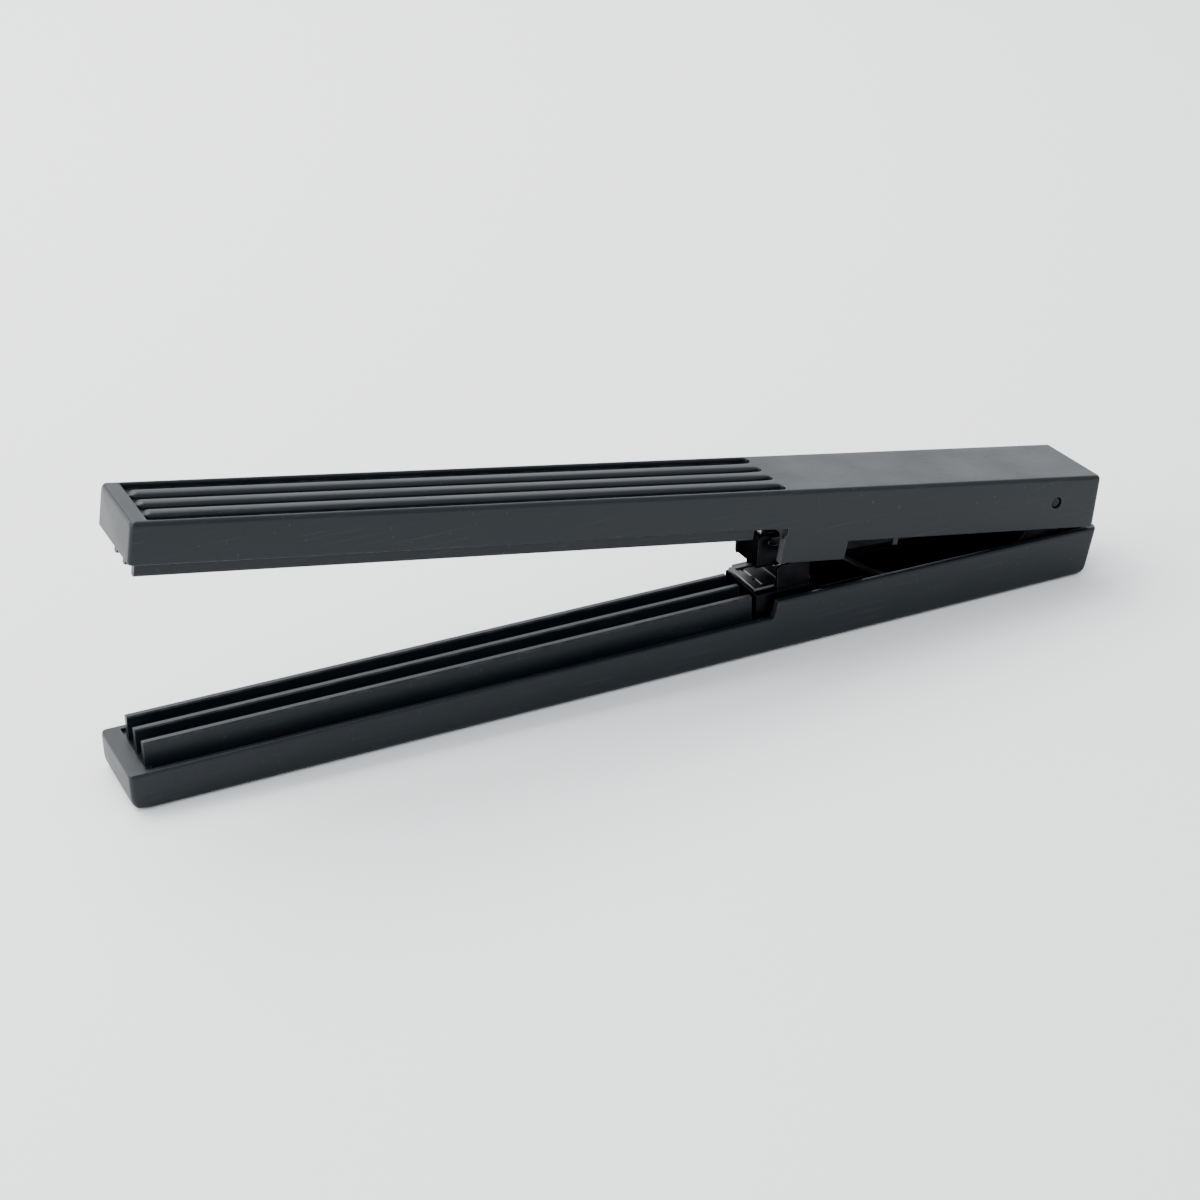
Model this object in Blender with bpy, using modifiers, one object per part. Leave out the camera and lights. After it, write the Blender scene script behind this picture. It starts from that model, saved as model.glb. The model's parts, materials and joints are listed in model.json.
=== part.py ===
"""Long two-arm stapler, modelled as separate pieces around one hinge pin.

The lower arm lies flat on z = 0. +X runs from the grips to the hinge, +Y across the arm, +Z up.
Each moving body hangs from an empty on the hinge pin, and its pieces are drawn in that empty's
own frame: the pin is the origin and the arms are parallel there. Turning an empty about +Y lifts
its front end, so the three empties hold the angles at which the stapler stands open.
"""

import math

import bmesh
import bpy
from mathutils import Matrix, Vector

# Overall sizes, in metres
ARM_WIDTH = 0.0240
WALL = 0.0020
GAP = 0.0003
LOWER_FRONT = -0.2475
LOWER_REAR = 0.0141
LOWER_BOTTOM = -0.0229
LOWER_RIM = -0.0137
UPPER_FRONT = -0.2453
UPPER_REAR = 0.0131
UPPER_REAR_SLANT = 0.0010
UPPER_TOP = 0.0069
UPPER_RIM = -0.0031
HEAD_X = -0.0833

# Angles of the open stapler, in degrees above parallel
MAGAZINE_OPEN = 2.8
UPPER_OPEN = 9.5
UPPER_CLOSED = 3.1
BLADE_VERTICAL_AT = 4.9

# Lower arm
STEP_X = -0.0823
STEP_RUN = 0.0013
REAR_WALL_TOP_FRONT = -0.0092
REAR_WALL_TOP_BACK = -0.0101
LOWER_REAR_SLANT = 0.0030
LOWER_CORNER = 0.0028
DECK_LENGTH = 0.0042
SHELF_LENGTH = 0.0020
SHELF_DROP = 0.0010
RIB_PITCH = 0.0065
RIB_THICKNESS = 0.0018
RIB_FRONT = -0.2426
RIB_REAR = -0.0874
LOWER_RIB_TOP = -0.0086
UPPER_RIB_BOTTOM = -0.0077

# Anvil plate, the steel block under it with two upturned guide ears, and the studs that join them
BLOCK_FRONT = -0.0864
BLOCK_REAR = -0.0703
BLOCK_TOP = -0.0083
BLOCK_HALF_WIDTH = 0.0080
ANVIL_HALF_WIDTH = 0.0067
ANVIL_TOP = -0.0070
ANVIL_THICKNESS = 0.0010
GROOVE_INNER_Y = 0.0006
GROOVE_OUTER_Y = 0.0050
GROOVE_DEPTH = 0.0005
GROOVE_HALF_LENGTH = 0.0007
EAR_INNER_Y = 0.0070
EAR_THICKNESS = 0.0008
EAR_FRONT = -0.0805
EAR_REAR = -0.0712
EAR_TOP = -0.0017
STUD_X = -0.0745
STUD_Y = 0.0028
STUD_RADIUS = 0.0013
STUD_BOTTOM = -0.0098

# Upper arm
LUG_FRONT = -0.0811
LUG_REAR = -0.0626
LUG_LEAN = 0.0002
FAR_LUG_FRONT = -0.0745
LUG_BOTTOM = -0.0123
UPPER_REAR_BOTTOM = -0.0074
UPPER_TOP_WALL = 0.0026
UPPER_END_WALL = 0.0030
TOP_BORE_DEPTH = 0.0013
SCREW_BORE_DEPTH = 0.0008
GRIP_FRONT = -0.2415
GRIP_REAR = -0.0820
GROOVE_CUT_DEPTH = 0.0013
BAR_PITCH = 0.0056
BAR_WIDTH = 0.0038
RIM_INNER_Y = 0.0104

# Hinge
PIN_RADIUS = 0.0015
PIN_HALF_LENGTH = 0.0115
PIN_HOLE_RADIUS = 0.0018
PIN_CHAMFER = 0.0002
FRAME_EAR_INNER_Y = 0.0083
FRAME_SHEET = 0.0012
FRAME_EAR_RADIUS = 0.0038
SPACER_RADIUS = 0.0030

# Lower steel frame
FRAME_FRONT = -0.0690
FRAME_REAR = 0.0040
FRAME_BASE_TOP = -0.0194
FRAME_TALL_TOP = -0.0090
FRAME_LOW_TOP = -0.0128
FRAME_TALL_REAR = -0.0560
FRAME_TALL_SLOPE = 0.0030
FRAME_NECK = ((-0.0062, -0.0060), (-0.0100, FRAME_LOW_TOP))
FRAME_RIVETS_X = (-0.0640, -0.0420, -0.0060)
FRAME_RIVET_RADIUS = 0.0012
FRAME_RIVET_HEAD_RADIUS = 0.0023
FRAME_RIVET_HEAD_TOP = FRAME_BASE_TOP + 0.0012
FRAME_RIVET_BOTTOM = LOWER_BOTTOM + 0.0009
FRAME_RIVET_BORE = LOWER_BOTTOM + 0.0006

# Leaf springs: each path is the middle of the strip, from its riveted end to its free end
LEAF_THICKNESS = 0.0005
LEAF_RIVET_RADIUS = 0.0010
LEAF_RIVET_HEAD_RADIUS = 0.0020
LEAF_RIVET_HEAD = 0.0008
LEAF_STEPS = 5
JAW_SEAT = FRAME_BASE_TOP + GAP + LEAF_THICKNESS / 2
JAW_PATH = (
    (-0.0180, JAW_SEAT),
    (-0.0320, JAW_SEAT),
    (-0.0430, -0.0168),
    (-0.0540, -0.0098),
    (-0.0620, -0.0043),
    (-0.0660, -0.0052),
)
JAW_HALF_WIDTH = 0.0034
JAW_RIVET_X = -0.0240
RETURN_SEAT = UPPER_TOP - UPPER_TOP_WALL - GAP - LEAF_THICKNESS / 2
RETURN_PATH = (
    (-0.0150, RETURN_SEAT),
    (-0.0260, RETURN_SEAT),
    (-0.0400, 0.0019),
    (-0.0530, -0.0024),
    (-0.0620, -0.0044),
    (-0.0660, -0.0036),
)
RETURN_HALF_WIDTH = 0.0054
RETURN_RIVET_X = -0.0200
RETURN_RIVET_REACH = 0.0010

# Magazine
MAG_FRONT = -0.0849
MAG_BOTTOM = -0.0066
MAG_TOP = 0.0022
MAG_SHEET = 0.0006
MAG_HALF_WIDTH = 0.00555
MAG_PIVOT_RADIUS = 0.0036
MAG_FLOOR_REAR = -0.0010
MAG_TOP_REAR = -0.0050
MAG_INSET = 0.0002
MAG_FLOOR_FRONT = -0.0825
NOSE_PLATE_FRONT = -0.0846
NOSE_PLATE_THICKNESS = 0.0006
RAIL_FRONT = -0.0823
RAIL_REAR = -0.0125
RAIL_TOP = -0.0020
RAIL_HALF_WIDTH = 0.0038
STAPLE_FRONT = -0.0828
STAPLE_COUNT = 48
STAPLE_WIRE = 0.0005
STAPLE_TOP = -0.0012
STAPLE_HALF_WIDTH = 0.0046
ROD_Z = 0.0004
ROD_RADIUS = 0.0008
BRIDGE_FRONT = -0.0822
BRIDGE_THICKNESS = 0.0010
END_BLOCK_FRONT = -0.0122
END_BLOCK_REAR = -0.0086
STOP_PIN_X = -0.0104
STOP_PIN_Z = -0.0044
STOP_PIN_RADIUS = 0.0008
STOP_PIN_HALF_LENGTH = 0.0060
PUSHER_LENGTH = 0.0080
PUSHER_TOP_DROP = 0.0004
TAB_OFFSET = 0.0026
TAB_LENGTH = 0.0030
TAB_HALF_HEIGHT = 0.0009
TAB_REACH_Y = -0.0078
SLOT_FRONT = -0.0820
SLOT_REAR = -0.0220
SLOT_HALF_HEIGHT = 0.0013
COIL_RADIUS = 0.0013
COIL_WIRE_RADIUS = 0.0002
COIL_TURNS = 16
COIL_STEPS = 9

# Driver
BLADE_THICKNESS = 0.0005
BLADE_HALF_WIDTH = 0.0044
BLADE_TIP = -0.00614
BLADE_LENGTH = 0.0120
HOLDER_FRONT = -0.0872
HOLDER_REAR = -0.0800
HOLDER_BOTTOM = -0.0016
HOLDER_HALF_WIDTH = 0.0095
BLADE_SLOT_FRONT = 0.0019
BLADE_SLOT_REAR = 0.0001
SCREW_Y = 0.0076
SCREW_RADIUS = 0.0009
SCREW_HEAD_RADIUS = 0.0016
SCREW_HEAD = 0.0009
SCREW_REACH = 0.0005

HALF_WIDTH = ARM_WIDTH / 2
INNER_Y = HALF_WIDTH - WALL
CAVITY_TOP = UPPER_TOP - UPPER_TOP_WALL
FLOOR_TOP = LOWER_BOTTOM + WALL
PIN_X = -(LOWER_FRONT + LOWER_REAR) / 2
PIN_Z = -LOWER_BOTTOM
STAPLE_REAR = STAPLE_FRONT + STAPLE_COUNT * STAPLE_WIRE
PUSHER_FRONT = STAPLE_REAR + GAP
PUSHER_REAR = PUSHER_FRONT + PUSHER_LENGTH
MAG_FLOOR_TOP = MAG_BOTTOM + MAG_SHEET
MAG_INNER_Y = MAG_HALF_WIDTH - MAG_SHEET
CUT_MARGIN = 0.0050
ROUND_SIDES = 24
SMALL_SIDES = 16
SMOOTH_ANGLE = math.radians(35)


def clear_scene():
    for old in list(bpy.data.objects):
        bpy.data.objects.remove(old, do_unlink=True)


def collection(name):
    made = bpy.data.collections.new(name)
    bpy.context.scene.collection.children.link(made)
    return made


def material(name, colour, roughness, metallic=0.0):
    made = bpy.data.materials.new(name)
    made.use_nodes = True
    shader = made.node_tree.nodes["Principled BSDF"]
    shader.inputs["Base Color"].default_value = (*colour, 1.0)
    shader.inputs["Roughness"].default_value = roughness
    shader.inputs["Metallic"].default_value = metallic
    return made


clear_scene()
PARTS = collection("long_arm_stapler")
CUTTERS = collection("cutters")
BLACK_PLASTIC = material("black_plastic", (0.030, 0.034, 0.038), 0.42)
BLACK_STEEL = material("black_steel", (0.035, 0.035, 0.038), 0.45, 0.6)
ZINC_STEEL = material("zinc_steel", (0.62, 0.62, 0.60), 0.35, 1.0)
SPRING_STEEL = material("spring_steel", (0.42, 0.42, 0.44), 0.32, 1.0)
STAPLE_STEEL = material("staple_steel", (0.70, 0.70, 0.70), 0.28, 1.0)


def pivot(name, angle):
    """An empty on the hinge pin's axis, turned so that its body stands open by angle degrees."""
    empty = bpy.data.objects.new(name, None)
    empty.location = (PIN_X, 0, PIN_Z)
    empty.rotation_euler = (0, math.radians(angle), 0)
    PARTS.objects.link(empty)
    return empty


LOWER = pivot("lower_arm_frame", 0)
MAGAZINE = pivot("magazine_pivot", MAGAZINE_OPEN)
UPPER = pivot("upper_arm_pivot", UPPER_OPEN)
PUSHER = bpy.data.objects.new("pusher_guide", None)
PUSHER.parent = MAGAZINE
PARTS.objects.link(PUSHER)


def place(name, mesh, body, finish=None):
    """Puts a mesh in its body. A mesh without a finish is a cutter or a piece to be joined."""
    made = bpy.data.objects.new(name, mesh)
    made.parent = body
    if finish is None:
        CUTTERS.objects.link(made)
        made.hide_render = True
        made.display_type = "WIRE"
    else:
        mesh.materials.append(finish)
        mesh.shade_smooth()
        mesh.set_sharp_from_angle(angle=SMOOTH_ANGLE)
        PARTS.objects.link(made)
    return made


def mesh_from(bm, name):
    mesh = bpy.data.meshes.new(name)
    bm.to_mesh(mesh)
    bm.free()
    return mesh


def box(x, y, z):
    """A block between the two values of each pair."""
    bm = bmesh.new()
    bmesh.ops.create_cube(bm, size=1.0)
    low = Vector((x[0], y[0], z[0]))
    high = Vector((x[1], y[1], z[1]))
    size = high - low
    centre = (low + high) / 2
    spot = Matrix.Translation(centre) @ Matrix.Diagonal(size).to_4x4()
    bmesh.ops.transform(bm, matrix=spot, verts=bm.verts)
    return mesh_from(bm, "box")


def cylinder(axis, centre, radius, span, sides=ROUND_SIDES):
    """A round bar along axis, from span[0] to span[1], with centre giving the other two values."""
    bm = bmesh.new()
    length = span[1] - span[0]
    bmesh.ops.create_cone(
        bm, cap_ends=True, segments=sides, radius1=radius, radius2=radius, depth=length
    )
    middle = (span[0] + span[1]) / 2
    if axis == "X":
        turn = Matrix.Rotation(math.radians(90), 4, "Y")
        spot = Vector((middle, centre[0], centre[1]))
    elif axis == "Y":
        turn = Matrix.Rotation(math.radians(90), 4, "X")
        spot = Vector((centre[0], middle, centre[1]))
    else:
        turn = Matrix.Identity(4)
        spot = Vector((centre[0], centre[1], middle))
    bmesh.ops.transform(bm, matrix=Matrix.Translation(spot) @ turn, verts=bm.verts)
    return mesh_from(bm, "cylinder")


def curve_mesh(curve):
    """The closed mesh of a curve, with its caps welded on."""
    holder = bpy.data.objects.new("outline", curve)
    bpy.context.scene.collection.objects.link(holder)
    graph = bpy.context.evaluated_depsgraph_get()
    mesh = bpy.data.meshes.new_from_object(holder.evaluated_get(graph))
    bpy.data.objects.remove(holder, do_unlink=True)
    bpy.data.curves.remove(curve)
    bm = bmesh.new()
    bm.from_mesh(mesh)
    bmesh.ops.remove_doubles(bm, verts=bm.verts, dist=0.00001)
    bmesh.ops.recalc_face_normals(bm, faces=bm.faces)
    bm.to_mesh(mesh)
    bm.free()
    return mesh


def plate(outline, y):
    """A flat outline in the XZ plane, extruded between the two values of y."""
    curve = bpy.data.curves.new("outline", "CURVE")
    curve.dimensions = "2D"
    curve.fill_mode = "BOTH"
    curve.extrude = (y[1] - y[0]) / 2
    spline = curve.splines.new("POLY")
    spline.points.add(len(outline) - 1)
    for point, (px, pz) in zip(spline.points, outline):
        point.co = (px, pz, 0, 1)
    spline.use_cyclic_u = True
    mesh = curve_mesh(curve)
    shift = Matrix.Translation((0, (y[0] + y[1]) / 2, 0))
    mesh.transform(shift @ Matrix.Rotation(math.radians(90), 4, "X"))
    return mesh


def arc(centre, radius, start, end, steps):
    """Points on an arc, angles in degrees from +X towards +Z."""
    points = []
    for step in range(steps + 1):
        angle = math.radians(start + (end - start) * step / steps)
        points.append((centre[0] + radius * math.cos(angle), centre[1] + radius * math.sin(angle)))
    return points


def leaf_outline(path, thickness):
    """The outline of a bent strip whose middle follows path."""
    above = []
    below = []
    for i, spot in enumerate(path):
        before = Vector(path[max(i - 1, 0)])
        after = Vector(path[min(i + 1, len(path) - 1)])
        along = (after - before).normalized()
        side = Vector((-along.y, along.x)) * thickness / 2
        above.append(tuple(Vector(spot) + side))
        below.append(tuple(Vector(spot) - side))
    return above + below[::-1]


def smooth_path(points, steps):
    """A Catmull-Rom path through the points."""
    path = []
    for i in range(len(points) - 1):
        p0 = Vector(points[max(i - 1, 0)])
        p1 = Vector(points[i])
        p2 = Vector(points[i + 1])
        p3 = Vector(points[min(i + 2, len(points) - 1)])
        for step in range(steps):
            t = step / steps
            spot = 0.5 * (
                2 * p1
                + (p2 - p0) * t
                + (2 * p0 - 5 * p1 + 4 * p2 - p3) * t ** 2
                + (3 * p1 - p0 - 3 * p2 + p3) * t ** 3
            )
            path.append(tuple(spot))
    path.append(tuple(points[-1]))
    return path


def boolean(target, tool, operation):
    made = target.modifiers.new(operation.lower(), "BOOLEAN")
    made.operation = operation
    made.solver = "EXACT"
    made.object = tool


def cut(target, *meshes):
    for number, mesh in enumerate(meshes):
        tool = place(f"{target.name}_cut_{number}", mesh, target.parent)
        boolean(target, tool, "DIFFERENCE")


def join(target, *meshes):
    for number, mesh in enumerate(meshes):
        tool = place(f"{target.name}_join_{number}", mesh, target.parent)
        boolean(target, tool, "UNION")


def both_sides(y0, y1):
    return ((-y1, -y0), (y0, y1))


def long_ribs(bottom, top):
    """The three full-length ribs that stiffen an arm's grip."""
    ribs = []
    for y in (-RIB_PITCH, 0.0, RIB_PITCH):
        half = RIB_THICKNESS / 2
        ribs.append(box((RIB_FRONT, RIB_REAR), (y - half, y + half), (bottom, top)))
    return ribs


def rivet(x, y, shank, head, shank_radius, head_radius):
    """A headed rivet along Z; the head overlaps the shank inside one turned profile."""
    bm = bmesh.new()
    profile = (
        (0.0, head[1]),
        (head_radius * 0.72, head[1]),
        (head_radius, (head[0] + head[1]) / 2),
        (head_radius, head[0]),
        (shank_radius, head[0]),
        (shank_radius, shank[0]),
        (0.0, shank[0]),
    )
    turned = []
    for radius, z in profile:
        turned.append(bm.verts.new((x + radius, y, z)))
    edges = []
    for first, second in zip(turned, turned[1:]):
        edges.append(bm.edges.new((first, second)))
    bmesh.ops.spin(
        bm, geom=turned + edges, cent=(x, y, 0), axis=(0, 0, 1), angle=math.tau, steps=16, use_merge=True
    )
    bmesh.ops.remove_doubles(bm, verts=bm.verts, dist=0.00001)
    bmesh.ops.recalc_face_normals(bm, faces=bm.faces)
    return mesh_from(bm, "rivet")


def rivet_hole(x, y, z, radius):
    return cylinder("Z", (x, y), radius + GAP, z, SMALL_SIDES)


def pin_hole():
    reach = HALF_WIDTH + CUT_MARGIN
    return cylinder("Y", (0, 0), PIN_HOLE_RADIUS, (-reach, reach))


# ---------------------------------------------------------------- lower arm


def lower_arm_shell():
    slant_x = LOWER_REAR - LOWER_REAR_SLANT
    front = arc((LOWER_FRONT + LOWER_CORNER, LOWER_BOTTOM + LOWER_CORNER), LOWER_CORNER, 180, 270, 5)
    rear = arc((slant_x - LOWER_CORNER, LOWER_BOTTOM + LOWER_CORNER), LOWER_CORNER, 270, 347, 5)
    outline = [
        (LOWER_FRONT, LOWER_RIM),
        *front,
        *rear,
        (LOWER_REAR, REAR_WALL_TOP_BACK),
        (STEP_X, REAR_WALL_TOP_FRONT),
        (STEP_X - STEP_RUN, LOWER_RIM),
    ]
    shell = place("lower_arm_shell", plate(outline, (-HALF_WIDTH, HALF_WIDTH)), LOWER, BLACK_PLASTIC)
    shelf_front = LOWER_FRONT + DECK_LENGTH
    cavity_front = shelf_front + SHELF_LENGTH
    cavity_rear = slant_x - WALL
    cut(
        shell,
        box((cavity_front, cavity_rear), (-INNER_Y, INNER_Y), (FLOOR_TOP, CUT_MARGIN)),
        box((shelf_front, cavity_front + GAP), (-INNER_Y, INNER_Y), (LOWER_RIM - SHELF_DROP, CUT_MARGIN)),
    )
    join(shell, *long_ribs(FLOOR_TOP - GAP, LOWER_RIB_TOP))
    for number, x in enumerate(FRAME_RIVETS_X):
        hole = rivet_hole(x, 0, (FRAME_RIVET_BORE, FLOOR_TOP + CUT_MARGIN), FRAME_RIVET_RADIUS)
        boolean(shell, place(f"lower_arm_shell_hole_{number}", hole, LOWER), "DIFFERENCE")


def lower_frame():
    """A steel channel in the lower arm: its rear ears carry the hinge pin."""
    base = FLOOR_TOP + GAP
    ear = arc((0, 0), FRAME_EAR_RADIUS, 0, 180, 12)
    outline = [
        (FRAME_FRONT, base),
        (FRAME_REAR, base),
        *ear,
        *FRAME_NECK,
        (FRAME_TALL_REAR + FRAME_TALL_SLOPE, FRAME_LOW_TOP),
        (FRAME_TALL_REAR, FRAME_TALL_TOP),
        (FRAME_FRONT, FRAME_TALL_TOP),
    ]
    outer_y = FRAME_EAR_INNER_Y + FRAME_SHEET
    frame = place("lower_frame", plate(outline, (-outer_y, outer_y)), LOWER, BLACK_STEEL)
    inside = box(
        (FRAME_FRONT - CUT_MARGIN, FRAME_REAR + CUT_MARGIN),
        (-FRAME_EAR_INNER_Y, FRAME_EAR_INNER_Y),
        (FRAME_BASE_TOP, 2 * CUT_MARGIN),
    )
    through = (base - CUT_MARGIN, FRAME_BASE_TOP + CUT_MARGIN)
    holes = [rivet_hole(JAW_RIVET_X, 0, through, LEAF_RIVET_RADIUS)]
    for x in FRAME_RIVETS_X:
        holes.append(rivet_hole(x, 0, through, FRAME_RIVET_RADIUS))
    cut(frame, inside, pin_hole(), *holes)
    shank = (FRAME_RIVET_BOTTOM, FRAME_BASE_TOP)
    head = (FRAME_BASE_TOP + GAP, FRAME_RIVET_HEAD_TOP)
    for number, x in enumerate(FRAME_RIVETS_X, start=1):
        made = rivet(x, 0, shank, head, FRAME_RIVET_RADIUS, FRAME_RIVET_HEAD_RADIUS)
        place(f"frame_rivet_{number}", made, LOWER, ZINC_STEEL)


def anvil():
    """The forming plate under the driver, on a steel block whose two ears guide the magazine."""
    bottom = ANVIL_TOP - ANVIL_THICKNESS
    length = (BLOCK_FRONT, BLOCK_REAR)
    width = (-BLOCK_HALF_WIDTH, BLOCK_HALF_WIDTH)
    block = place("anvil_block", box(length, width, (FLOOR_TOP + GAP, BLOCK_TOP)), LOWER, BLACK_STEEL)
    for side in both_sides(EAR_INNER_Y, EAR_INNER_Y + EAR_THICKNESS):
        join(block, box((EAR_FRONT, EAR_REAR), side, (BLOCK_TOP - GAP, EAR_TOP)))
    for y in (-STUD_Y, STUD_Y):
        cut(block, rivet_hole(STUD_X, y, (STUD_BOTTOM - GAP, CUT_MARGIN), STUD_RADIUS))
    body = box(length, (-ANVIL_HALF_WIDTH, ANVIL_HALF_WIDTH), (bottom, ANVIL_TOP))
    made = place("anvil_plate", body, LOWER, SPRING_STEEL)
    grooves = []
    for side in both_sides(GROOVE_INNER_Y, GROOVE_OUTER_Y):
        span = (HEAD_X - GROOVE_HALF_LENGTH, HEAD_X + GROOVE_HALF_LENGTH)
        grooves.append(box(span, side, (ANVIL_TOP - GROOVE_DEPTH, ANVIL_TOP + CUT_MARGIN)))
    holes = []
    for y in (-STUD_Y, STUD_Y):
        holes.append(rivet_hole(STUD_X, y, (bottom - CUT_MARGIN, CUT_MARGIN), STUD_RADIUS))
    cut(made, *grooves, *holes)
    for side, y in (("near", -STUD_Y), ("far", STUD_Y)):
        stud = cylinder("Z", (STUD_X, y), STUD_RADIUS, (STUD_BOTTOM, ANVIL_TOP), SMALL_SIDES)
        place(f"anvil_rivet_{side}", stud, LOWER, SPRING_STEEL)


def hinge():
    shaft = cylinder("Y", (0, 0), PIN_RADIUS, (-PIN_HALF_LENGTH, PIN_HALF_LENGTH))
    pin = place("hinge_pin", shaft, LOWER, SPRING_STEEL)
    chamfer = pin.modifiers.new("chamfer", "BEVEL")
    chamfer.width = PIN_CHAMFER
    chamfer.segments = 1
    chamfer.limit_method = "ANGLE"
    sides = both_sides(MAG_HALF_WIDTH + GAP, FRAME_EAR_INNER_Y - GAP)
    for name, side in zip(("spacer_near", "spacer_far"), sides):
        sleeve = place(name, cylinder("Y", (0, 0), SPACER_RADIUS, side), LOWER, ZINC_STEEL)
        cut(sleeve, pin_hole())


def leaf_spring(name, path, half_width, body):
    outline = leaf_outline(smooth_path(path, LEAF_STEPS), LEAF_THICKNESS)
    return place(name, plate(outline, (-half_width, half_width)), body, SPRING_STEEL)


def flipped(mesh, x, y):
    """The mesh turned upside down about a line along X through y and z = 0."""
    back = Matrix.Translation((x, y, 0)) @ Matrix.Rotation(math.pi, 4, "X")
    mesh.transform(back @ Matrix.Translation((-x, -y, 0)))
    return mesh


def jaw_spring():
    """The leaf that holds the magazine up off the anvil."""
    leaf = leaf_spring("jaw_spring", JAW_PATH, JAW_HALF_WIDTH, LOWER)
    leaf_top = JAW_SEAT + LEAF_THICKNESS / 2
    through = (JAW_SEAT - CUT_MARGIN, JAW_SEAT + CUT_MARGIN / 2)
    cut(leaf, rivet_hole(JAW_RIVET_X, 0, through, LEAF_RIVET_RADIUS))
    head = (leaf_top + GAP, leaf_top + GAP + LEAF_RIVET_HEAD)
    shank = (FLOOR_TOP + GAP, head[0])
    pin = rivet(JAW_RIVET_X, 0, shank, head, LEAF_RIVET_RADIUS, LEAF_RIVET_HEAD_RADIUS)
    place("jaw_spring_rivet", pin, LOWER, ZINC_STEEL)


# ---------------------------------------------------------------- magazine


def stop_pin_hole():
    reach = 2 * CUT_MARGIN
    return cylinder("Y", (STOP_PIN_X, STOP_PIN_Z), STOP_PIN_RADIUS + GAP, (-reach, reach), SMALL_SIDES)


def magazine_channel():
    tail = arc((0, 0), MAG_PIVOT_RADIUS, -20, 110, 10)
    outline = [
        (MAG_FRONT, MAG_BOTTOM),
        (MAG_FLOOR_REAR, MAG_BOTTOM),
        *tail,
        (MAG_TOP_REAR, MAG_TOP),
        (MAG_FRONT, MAG_TOP),
    ]
    solid = plate(outline, (-MAG_HALF_WIDTH, MAG_HALF_WIDTH))
    channel = place("magazine_channel", solid, MAGAZINE, BLACK_STEEL)
    ends = (MAG_FRONT - CUT_MARGIN, 2 * CUT_MARGIN)
    inside = box(ends, (-MAG_INNER_Y, MAG_INNER_Y), (MAG_FLOOR_TOP, 2 * CUT_MARGIN))
    below = (MAG_BOTTOM - CUT_MARGIN, MAG_FLOOR_TOP + GAP)
    outlet = box((ends[0], MAG_FLOOR_FRONT), (-MAG_INNER_Y, MAG_INNER_Y), below)
    slot_z = (-SLOT_HALF_HEIGHT, SLOT_HALF_HEIGHT)
    slot = box((SLOT_FRONT, SLOT_REAR), (-2 * MAG_HALF_WIDTH, 0), slot_z)
    cut(channel, inside, outlet, slot, pin_hole(), stop_pin_hole())


def magazine_nose():
    plate_x = (NOSE_PLATE_FRONT, NOSE_PLATE_FRONT + NOSE_PLATE_THICKNESS)
    inner = MAG_INNER_Y - GAP
    face = box(plate_x, (-inner, inner), (MAG_BOTTOM + MAG_INSET, MAG_TOP - MAG_INSET))
    place("nose_plate", face, MAGAZINE, BLACK_STEEL)


def staple_rail():
    width = (-RAIL_HALF_WIDTH, RAIL_HALF_WIDTH)
    solid = box((RAIL_FRONT, RAIL_REAR), width, (MAG_FLOOR_TOP + GAP, RAIL_TOP))
    rail = place("staple_rail", solid, MAGAZINE, ZINC_STEEL)
    inner = RAIL_HALF_WIDTH - MAG_SHEET
    ends = (RAIL_FRONT - CUT_MARGIN, RAIL_REAR + CUT_MARGIN)
    cut(rail, box(ends, (-inner, inner), (MAG_BOTTOM - CUT_MARGIN, RAIL_TOP - MAG_SHEET)))


def staple_strip():
    """A part-used strip of glued staples, astride the rail."""
    legs_bottom = MAG_FLOOR_TOP + GAP
    width = (-STAPLE_HALF_WIDTH, STAPLE_HALF_WIDTH)
    solid = box((STAPLE_FRONT, STAPLE_REAR), width, (legs_bottom, STAPLE_TOP))
    strip = place("staple_strip", solid, MAGAZINE, STAPLE_STEEL)
    inner = STAPLE_HALF_WIDTH - STAPLE_WIRE
    ends = (STAPLE_FRONT - CUT_MARGIN, STAPLE_REAR + CUT_MARGIN)
    cut(strip, box(ends, (-inner, inner), (legs_bottom - CUT_MARGIN, STAPLE_TOP - STAPLE_WIRE)))


def rod_hole(span):
    return cylinder("X", (0, ROD_Z), ROD_RADIUS + GAP, span, SMALL_SIDES)


def follower_guide():
    """The rod that the pusher rides on, its front bridge, its rear block and the block's cross pin."""
    inner = MAG_INNER_Y - GAP
    top = MAG_TOP - MAG_INSET
    whole = (MAG_FRONT, CUT_MARGIN)
    bridge_x = (BRIDGE_FRONT, BRIDGE_FRONT + BRIDGE_THICKNESS)
    bridge_solid = box(bridge_x, (-inner, inner), (STAPLE_TOP + GAP, top))
    bridge = place("rod_bridge", bridge_solid, MAGAZINE, ZINC_STEEL)
    cut(bridge, rod_hole(whole))
    block_x = (END_BLOCK_FRONT, END_BLOCK_REAR)
    block_solid = box(block_x, (-inner, inner), (MAG_FLOOR_TOP + GAP, top))
    block = place("end_block", block_solid, MAGAZINE, ZINC_STEEL)
    cut(block, rod_hole(whole), stop_pin_hole())
    rod_x = (BRIDGE_FRONT + GAP, END_BLOCK_REAR - GAP)
    rod = cylinder("X", (0, ROD_Z), ROD_RADIUS, rod_x, SMALL_SIDES)
    place("guide_rod", rod, MAGAZINE, SPRING_STEEL)
    pin_y = (-STOP_PIN_HALF_LENGTH, STOP_PIN_HALF_LENGTH)
    pin = cylinder("Y", (STOP_PIN_X, STOP_PIN_Z), STOP_PIN_RADIUS, pin_y, SMALL_SIDES)
    place("end_block_pin", pin, MAGAZINE, SPRING_STEEL)


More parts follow.
